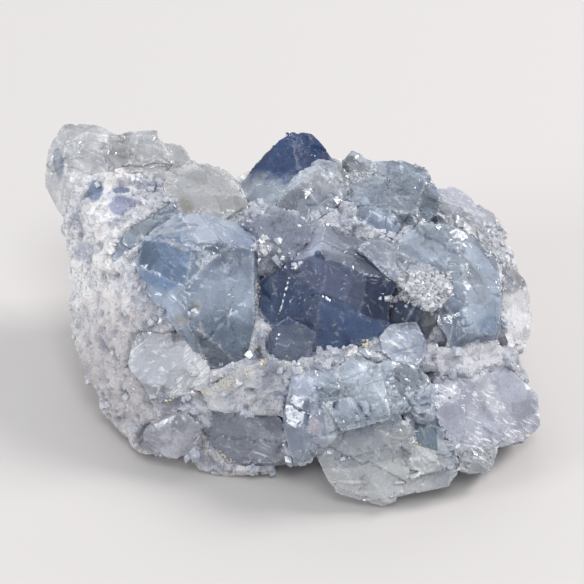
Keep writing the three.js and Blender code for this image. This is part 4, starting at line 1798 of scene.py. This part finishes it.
@dataclass(frozen=True)
class VeilFinish:
    """The pale sheen of a healed crack."""

    light: Colour = (0.88, 0.91, 0.96)
    shade: Colour = (0.60, 0.68, 0.80)
    clearness: float = 0.6
    gloss: float = 0.18
    ior: float = 1.2

    def material(self) -> bpy.types.Material:
        """Makes the veils' material.

        Returns:
            The material.
        """
        n = MaterialNodes.start("veil_finish")
        tone = n.fade(n.noise(Pattern(0.9, 3.0, 1.0)), 0.4, 0.6)
        n.shade(
            Base_Color=n.mix(tone, self.shade, self.light),
            Roughness=self.gloss,
            Transmission_Weight=self.clearness,
            IOR=self.ior,
        )
        return n.material


@dataclass
class Veils:
    """Thin, slightly curved healed cracks inside one crystal."""

    node: str
    count: int
    smallest: float = 0.7
    largest: float = 3.0
    depths: Pair = (0.8, 4.5)
    thickness: float = 0.04
    seed: int = 1

    SIDES = 14
    CLEARANCE = 0.35
    TRIES = 6

    def _inside(self, tree: BVHTree, points: np.ndarray) -> bool:
        """Tells whether points are well inside the crystal.

        Args:
            tree: The crystal's search tree.
            points: The points, in millimetres.
        Returns:
            Whether all of them are.
        """
        for point in points:
            foot, normal, _face, gap = tree.find_nearest(Vector(point) * MM)
            if gap / MM < self.CLEARANCE or (Vector(point) * MM - foot).dot(normal) > 0:
                return False
        return True

    def _flake(
        self, rng: np.random.Generator, middle: np.ndarray, normal: np.ndarray, size: float
    ) -> np.ndarray:
        """Makes the points of one veil.

        Args:
            rng: The source of random numbers.
            middle: Its middle, in millimetres.
            normal: The way it faces.
            size: Its half width, in millimetres.
        Returns:
            Its middle, an inner ring and its ragged rim.
        """
        side = unit(np.cross(normal, rng.normal(0, 1, 3)))
        other = np.cross(normal, side)
        turns = np.arange(self.SIDES) * 2 * math.pi / self.SIDES
        ragged = size * rng.uniform(0.55, 1.0, self.SIDES)
        stretch = rng.uniform(0.35, 1.0)
        bend = rng.uniform(-0.12, 0.12) / size
        rings = [middle[None, :]]
        for share in (0.5, 1.0):
            reach = ragged * share
            across, up = reach * np.cos(turns), stretch * reach * np.sin(turns)
            lift = bend * (across**2 + up**2) + rng.normal(0, 0.03, self.SIDES)
            rings.append(middle + across[:, None] * side + up[:, None] * other + lift[:, None] * normal)
        return np.concatenate(rings)

    def shapes(self, skin: bpy.types.Mesh) -> Iterator[tuple[np.ndarray, Faces]]:
        """Makes the veils of the crystal.

        Args:
            skin: The crystal's visible mesh, to set the veils behind.
        Yields:
            The points and faces of each veil.
        """
        rng = np.random.default_rng(self.seed)
        solid = FacetedSolid.of(self.node)
        points, normals = points_of(skin), normals_of(skin)
        outer = np.flatnonzero(value_of(skin, "open") > 0.6)
        largest = sorted(solid.facets, key=lambda facet: -facet.area)[:3]
        cleavages = [unit(facet.normal) for facet in largest]
        made = 0
        for _ in range(self.count * self.TRIES):
            if made >= self.count:
                break
            start = rng.choice(outer)
            middle = points[start] - normals[start] * rng.uniform(*self.depths)
            normal = unit(cleavages[rng.integers(len(cleavages))] + rng.normal(0, 0.35, 3))
            size = self.smallest + (self.largest - self.smallest) * rng.uniform() ** 2
            flake = self._flake(rng, middle, normal, size)
            if not self._inside(solid.tree, flake[::3]):
                continue
            made += 1
            yield self._thickened(flake, normal)

    def _thickened(self, flake: np.ndarray, normal: np.ndarray) -> tuple[np.ndarray, Faces]:
        """Gives a veil its thin body.

        Args:
            flake: The veil's points, in millimetres.
            normal: The way it faces.
        Returns:
            The body's points and its faces.
        """
        count, sides = len(flake), self.SIDES
        half = normal * self.thickness / 2
        points = np.concatenate([flake + half, flake - half])
        faces: Faces = []
        for k in range(sides):
            j = (k + 1) % sides
            top = [(0, 1 + k, 1 + j), (1 + k, 1 + sides + k, 1 + sides + j, 1 + j)]
            faces += top + [tuple(count + v for v in reversed(face)) for face in top]
            rim, next_rim = 1 + sides + k, 1 + sides + j
            faces.append((rim, count + rim, count + next_rim, next_rim))
        return points, faces


def build_veils(veils: Sequence[Veils], skins: dict[str, bpy.types.Object]) -> bpy.types.Object:
    """Makes all the veils, as one mesh.

    Args:
        veils: The veils of each crystal.
        skins: Each crystal's piece, by its node.
    Returns:
        The veils' piece.
    """
    corners: list[np.ndarray] = []
    faces: Faces = []
    total = 0
    for set_of_veils in veils:
        for points, flake_faces in set_of_veils.shapes(skins[set_of_veils.node].data):
            faces += [tuple(total + v for v in face) for face in flake_faces]
            corners.append(points)
            total += len(points)
    mesh = bpy.data.meshes.new("crystal_veils")
    mesh.from_pydata((np.concatenate(corners) * MM).tolist(), [], faces)
    shade_smooth(mesh)
    shape = bmesh.new()
    shape.from_mesh(mesh)
    bmesh.ops.recalc_face_normals(shape, faces=shape.faces)
    shape.to_mesh(mesh)
    shape.free()
    return dress(new_object("crystal_veils", mesh), VeilFinish().material(), Slot.FROSTED)


# ---------------------------------------------------------------- studio


@dataclass(frozen=True)
class Lamp:
    """A soft rectangular lamp."""

    name: str
    at: Triple
    size: float
    watts: float
    colour: Colour = (1.0, 1.0, 1.0)

    def build(self, target: Vector) -> None:
        """Hangs the lamp so that it shines at a place.

        Args:
            target: The place, in metres.
        """
        data = bpy.data.lights.new(self.name, "AREA")
        data.energy = self.watts
        data.size = self.size
        data.color = self.colour
        obj = bpy.data.objects.new(self.name, data)
        obj.location = self.at
        obj.rotation_euler = (target - obj.location).to_track_quat("-Z", "Y").to_euler()
        bpy.context.scene.collection.objects.link(obj)


@dataclass
class Studio:
    """The floor, the lamps and the camera."""

    aim: Triple = (0.0, 0.003, 0.026)
    distance: float = 0.45
    elevation: float = math.radians(40)
    lens: float = 138.5
    floor_side: float = 6.0
    floor_colour: Colour = (0.58, 0.558, 0.545)
    sky: Colour = (0.90, 0.93, 0.97)
    low_sky: float = 0.45
    high_sky: float = 0.66
    lamps: tuple[Lamp, ...] = (
        Lamp("key", (1.25, 0.35, 1.30), 0.6, 21.0, (1.0, 0.985, 0.96)),
        Lamp("back", (-0.3, 1.6, 1.3), 1.3, 8.0, (0.97, 0.98, 1.0)),
        Lamp("fill", (-1.67, -0.54, 0.71), 0.5, 12.0, (0.97, 0.98, 1.0)),
        Lamp("front", (0.21, -0.77, 1.50), 0.6, 8.0, (0.98, 0.99, 1.0)),
    )

    def _floor(self) -> None:
        """Lays a plain pale floor."""
        half = self.floor_side / 2
        mesh = bpy.data.meshes.new("floor")
        corners = [(-half, -half, 0), (half, -half, 0), (half, half, 0), (-half, half, 0)]
        mesh.from_pydata(corners, [], [(0, 1, 2, 3)])
        floor = new_object("floor", mesh)
        n = MaterialNodes.start("floor_finish")
        n.shade(Base_Color=self.floor_colour, Roughness=0.85, Specular_IOR_Level=0.2)
        mesh.materials.append(n.material)

    def _camera(self) -> None:
        """Sets the camera up, looking down on the growth face."""
        data = bpy.data.cameras.new("camera")
        data.lens = self.lens
        data.sensor_width = 36.0
        data.clip_start = 0.01
        camera = bpy.data.objects.new("camera", data)
        away = Vector((0, -math.cos(self.elevation), math.sin(self.elevation)))
        aim = Vector(self.aim)
        camera.location = aim + away * self.distance
        camera.rotation_euler = (-away).to_track_quat("-Z", "Y").to_euler()
        bpy.context.scene.collection.objects.link(camera)
        bpy.context.scene.camera = camera

    def _world(self) -> None:
        """Fills the room with soft light."""
        world = bpy.data.worlds.new("room")
        bpy.context.scene.world = world
        world.use_nodes = True
        n = Nodes(world.node_tree)
        back = world.node_tree.nodes["Background"]
        n.feed(back.inputs["Color"], self.sky)
        around = n.wire("ShaderNodeTexCoord", output="Generated")
        height = n.wire("ShaderNodeSeparateXYZ", {0: around}, "Z")
        n.feed(back.inputs["Strength"], n.fade(height, 0.1, 0.9, self.low_sky, self.high_sky))

    def build(self) -> None:
        """Sets the studio up."""
        self._camera()
        self._world()
        self._floor()
        for lamp in self.lamps:
            lamp.build(Vector(self.aim))
        bpy.context.scene.view_settings.view_transform = "Standard"
        LOG.info("studio: %d lamps", len(self.lamps))


# ---------------------------------------------------------------- the specimen


DARK_SUGAR = replace(
    FROSTED, body=(0.56, 0.64, 0.80), cloud=(0.74, 0.78, 0.88), clearness=0.6, gloss=0.06, fibres=0.2
)
POINT = replace(
    BLUE, slot=Slot.DEEP_BLUE, body=(0.72, 0.81, 0.93), crack=0.1, top_light_and_shade_share=0.0, edge_frost=0.15,
    flecks_and_sparkle=0.05, contrast=0.3, fibres=0.0, crusting=0.3,
)
LAYERED = replace(BLUE, body=(0.36, 0.46, 0.61), cloud=(0.50, 0.58, 0.71), contrast=0.5, fibres=0.2)
PALE = replace(
    AQUA, body=(0.34, 0.40, 0.49), cloud=(0.66, 0.71, 0.78), top=(0.55, 0.59, 0.67), contrast=0.5, fibres=0.4
)
# Its top colour is darker than its body, so its up-facing facets carry painted shade.
RIM = replace(
    FROSTED, body=(0.95, 0.95, 1.0), cloud=(0.98, 0.98, 1.0), top=(0.40, 0.42, 0.50), top_light_and_shade_share=0.85
)
STREAKED = replace(FROSTED, body=(0.55, 0.57, 0.69), fibres=0.9, lie=-0.5, gloss=0.1)
GLASSY = replace(
    CLEAR, body=(0.78, 0.81, 0.90), cloud=(0.96, 0.96, 0.98), cloudiness=1.0, clearness=0.45,
    crack=0.9, contrast=0.6, fibres=0.9, lie=0.7,
)
CLEAVED = replace(AQUA, body=(0.43, 0.50, 0.61), cloud=(0.60, 0.66, 0.76), clearness=0.5, contrast=0.3)
MILKY_BLUE = replace(
    CLEAR, body=(0.48, 0.55, 0.70), cloud=(0.76, 0.80, 0.88), top=(0.60, 0.64, 0.74), contrast=0.5,
    fibres=0.4,
)

CRYSTALS = (
    Crystal(
        "large_left_crystal", BLUE, seed=11,
        zones=(
            ColourZone((-24.6, 6.5, 12), (5.6, 6.2, 30), (0.24, 0.40, 0.66), 0.85, 0.15),
            ColourZone((-14, -11, 12), (8, 6.5, 30), (0.23, 0.30, 0.39), 0.9, 0.5),
            ColourZone((-9, 10, 10), (3, 3, 30), (0.36, 0.46, 0.68), 0.7, 0.3),
            ColourZone((-21.3, -5.4, 14), (1.6, 1.2, 12), (0.42, 0.37, 0.26), 0.6, 0.4),
            # Painted highlight: a white glint on the crystal's face.
            ColourZone((-18.4, -3.2, 15), (0.9, 1.9, 12), (0.90, 0.91, 0.92), 0.85, 0.2, -0.3),
            ColourZone((-24.5, 12.0, 10), (5.0, 0.5, 30), (0.74, 0.80, 0.88), 0.8, 0.3, 0.12),
            ColourZone((-22.5, 9.2, 12), (2.8, 0.5, 30), (0.80, 0.84, 0.90), 0.7, 0.3, -0.5),
            streak(-17.4, -7.2, 15, 4.0, 0.3),
            streak(-12.5, -3.0, 13, 9.0, 0.03, 0.35),
        ),
    ),
    Crystal(
        "central_blue_crystal", DEEP_BLUE, seed=12,
        zones=(
            ColourZone((-0.2, -9.9, 11), (4.6, 4.3, 10), (0.27, 0.33, 0.43), 0.9, 0.12),
            pane((8.0, 2.4), (8.5, 3.0), SLATE, -0.42, 0.75),
            pane((17.2, -0.9), (3.2, 4.4), NAVY, -0.15, 0.85),
            pane((4.0, -7.0), (1.6, 6.0), SLATE, 0.05, 0.3),
            ColourZone((27, -4.5, 11), (1.6, 4.5, 10), (0.78, 0.79, 0.84), 0.8, 0.5),
            streak(-3.4, 0.5, 10, 3.0, 0.3, 0.4),
            streak(23.2, -4.0, 11, 6.0, -0.5),
        ),
    ),
    Crystal(
        "right_block_crystal", BLUE, Relief(ripple=0.05), seed=13,
        zones=(
            ColourZone((32.4, -7, 12), (1.9, 4.0, 20), (0.26, 0.35, 0.50), 0.75, 0.2),
            ColourZone((38.8, -6.8, 6), (2.8, 2.2, 20), (0.25, 0.34, 0.48), 0.75, 0.2),
            streak(34.5, 5.5, 10, 10.0, -0.22, 0.6),
            streak(36.6, 1.5, 9, 8.0, 0.15, 0.5),
            streak(27.0, 9.5, 6, 6.0, 1.3, 0.4),
            streak(29.3, -5.5, 12, 7.0, 0.15, 0.9),
            streak(30.8, -8.5, 12, 5.0, -0.2, 0.9),
            pane((35.5, -3.0), (2.6, 6.5), (0.62, 0.70, 0.80), -0.35, 0.35),
        ),
    ),
    Crystal(
        "sugared_crystal", DARK_SUGAR, seed=14, cell=0.24,
        zones=(ColourZone((26, 1, 13), (5.5, 4.0, 30), (0.90, 0.90, 0.92), 0.9, 0.3),),
    ),
    Crystal(
        "rear_point_crystal", POINT, seed=15, cell=0.26,
        zones=(ColourZone((0, 30, -12), (14, 7.6, 40), (0.02, 0.08, 0.27), 0.96, 0.25),),
    ),
    Crystal(
        "rear_right_crystals", LAYERED, Relief(steps=3), seed=16, cell=0.26,
        zones=(streak(24.0, 13.9, 2, 5.0, -1.3), streak(15.0, 25.5, -11, 3.0, 0.4, 0.9)),
    ),
    Crystal(
        "front_block_crystals", CLEAVED, Relief(steps=3), seed=17,
        zones=(
            # Painted light: the lowest, downward-facing facets are whitened to stand for light bounced up
            # from the floor.
            ColourZone((16, -36, 12), (15, 10, 20), (0.96, 0.98, 1.0), 1.0, 0.4),
            ColourZone((2, -25, 15), (5, 10, 20), (0.36, 0.42, 0.56), 0.8, 0.5),
            pane((6.8, -19.0), (2.6, 4.2), TEAL, 0.5, 0.7, Outline.RHOMB),
            pane((13.0, -17.6), (3.2, 5.2), (0.56, 0.65, 0.76), 0.5, 0.6),
            pane((12.0, -27.5), (5.0, 4.6), (0.36, 0.45, 0.57), 0.3, 0.4),
            pane((7.2, -25.0), (0.9, 4.2), (0.80, 0.87, 0.92), 0.12, 0.7),
            pane((4.6, -25.8), (1.7, 2.1), (0.74, 0.66, 0.76), 0.3, 0.7, Outline.RHOMB),
            pane((26.0, -28.0), (3.6, 2.6), (0.10, 0.18, 0.25), -0.9, 0.8, Outline.RHOMB),
            pane((21.6, -27.4), (2.2, 0.8), WHITE, 0.5, 0.8, Outline.RHOMB),
            pane((15.0, -32.0), (7.0, 1.2), (0.38, 0.46, 0.56), 0.2, 0.4),
            streak(9.9, -18.6, 20, 7.2, 0.39),
            streak(14.9, -16.6, 19, 8.6, 0.57),
            streak(17.0, -31.6, 16, 4.0, 0.8, 0.8),
            streak(5.5, -32.5, 16, 6.0, -0.5, 0.4),
        ),
    ),
    Crystal(
        "upper_pale_crystals", PALE, seed=18, cell=0.26,
        zones=(
            # Painted highlight: pale glare on the upper pale crystals.
            ColourZone((7.0, 22.5, -3), (3.6, 2.2, 8), (0.86, 0.87, 0.90), 0.6, 0.5),
            streak(4.0, 21.0, -2, 4.5, -0.8, 0.8),
            streak(9.5, 24.5, -6, 3.5, -0.6, 0.8),
        ),
    ),
    Crystal(
        "left_corner_crystals", CLEAR, Relief(steps=3), seed=19, cell=0.3,
        zones=(
            ColourZone((-47.4, 26.2, -8), (1.2, 3.4, 10), (0.34, 0.41, 0.52), 0.8, 0.15, 0.15),
            ColourZone((-43.8, 28.3, -7), (0.7, 3.0, 8), (0.92, 0.92, 0.92), 0.85, 0.3, 0.55),
        ),
    ),
    Crystal(
        "pale_top_crystal", CLEAR, seed=20, cell=0.26,
        zones=(
            ColourZone((-21.0, 17.3, 3), (1.4, 1.6, 8), (0.50, 0.45, 0.32), 0.7, 0.4),
            streak(-15.5, 21.0, 0, 6.0, 0.5),
        ),
    ),
    Crystal(
        "small_clear_crystals", MILKY_BLUE, seed=21, cell=0.2,
        zones=(streak(20.5, -9.5, 14, 3.5, -0.9, 0.8), streak(23.0, -11.5, 14, 4.0, 0.7, 0.8)),
    ),
    Crystal("lower_middle_crystal", SMOKY, seed=22, cell=0.24),
    Crystal(
        "left_glassy_crystal", GLASSY, Relief(steps=3), seed=23, cell=0.24,
        zones=(
            ColourZone((-18.3, -14.5, 11), (0.8, 3.0, 6), (0.90, 0.92, 0.94), 0.7, 0.4, -0.25),
            streak(-25.0, -11.5, 9, 5.0, 1.0),
            streak(-22.5, -14.0, 10, 6.0, 0.4),
            streak(-27.0, -15.5, 9, 5.0, -0.4, 0.6),
        ),
    ),
    Crystal("right_rim_crystals", RIM, seed=24, cell=0.3),
    Crystal(
        "front_right_crystals", STREAKED, Relief(steps=3), seed=25, cell=0.3,
        zones=(
            pane((39.0, -20.5), (1.6, 7.5), (0.86, 0.87, 0.94), 0.55, 0.4),
            pane((37.0, -33.5), (5.0, 2.4), (0.80, 0.83, 0.86), 0.1, 0.7),
            ColourZone((30.6, -20.6, 12), (0.3, 0.3, 12), (0.03, 0.03, 0.05), 0.9, 0.2),
        ),
    ),
    Crystal("lower_left_crystal", FROSTED, seed=26, cell=0.24),
)


VEILS = (
    Veils("large_left_crystal", 34, 0.7, 4.0, seed=31),
    Veils("central_blue_crystal", 22, 0.6, 3.0, seed=32),
    Veils("right_block_crystal", 30, 0.7, 4.0, seed=33),
    Veils("rear_right_crystals", 22, seed=34),
    Veils("front_block_crystals", 60, 0.7, 4.0, seed=35),
    Veils("upper_pale_crystals", 24, seed=36),
    Veils("left_corner_crystals", 34, seed=37),
    Veils("pale_top_crystal", 18, seed=38),
    Veils("rear_point_crystal", 10, seed=39),
    Veils("left_glassy_crystal", 30, 0.5, 2.2, seed=40),
    Veils("lower_middle_crystal", 14, 0.5, 2.5, seed=41),
    Veils("small_clear_crystals", 14, 0.4, 1.5, seed=42),
)


def main() -> None:
    """Builds the specimen and the studio round it."""
    logging.basicConfig(level=logging.INFO, format="%(name)s: %(message)s")
    Studio().build()
    nodes = ["matrix"] + [crystal.node for crystal in CRYSTALS]
    skins = {crystal.node: crystal.build(nodes) for crystal in CRYSTALS}
    pieces = [Matrix().build(nodes), *skins.values()]
    for piece in pieces:
        weigh_grains(piece.data)
    for grains in GRAIN_FIELDS:
        grains.build(pieces)
    build_veils(VEILS, skins)


if __name__ == "__main__":
    main()
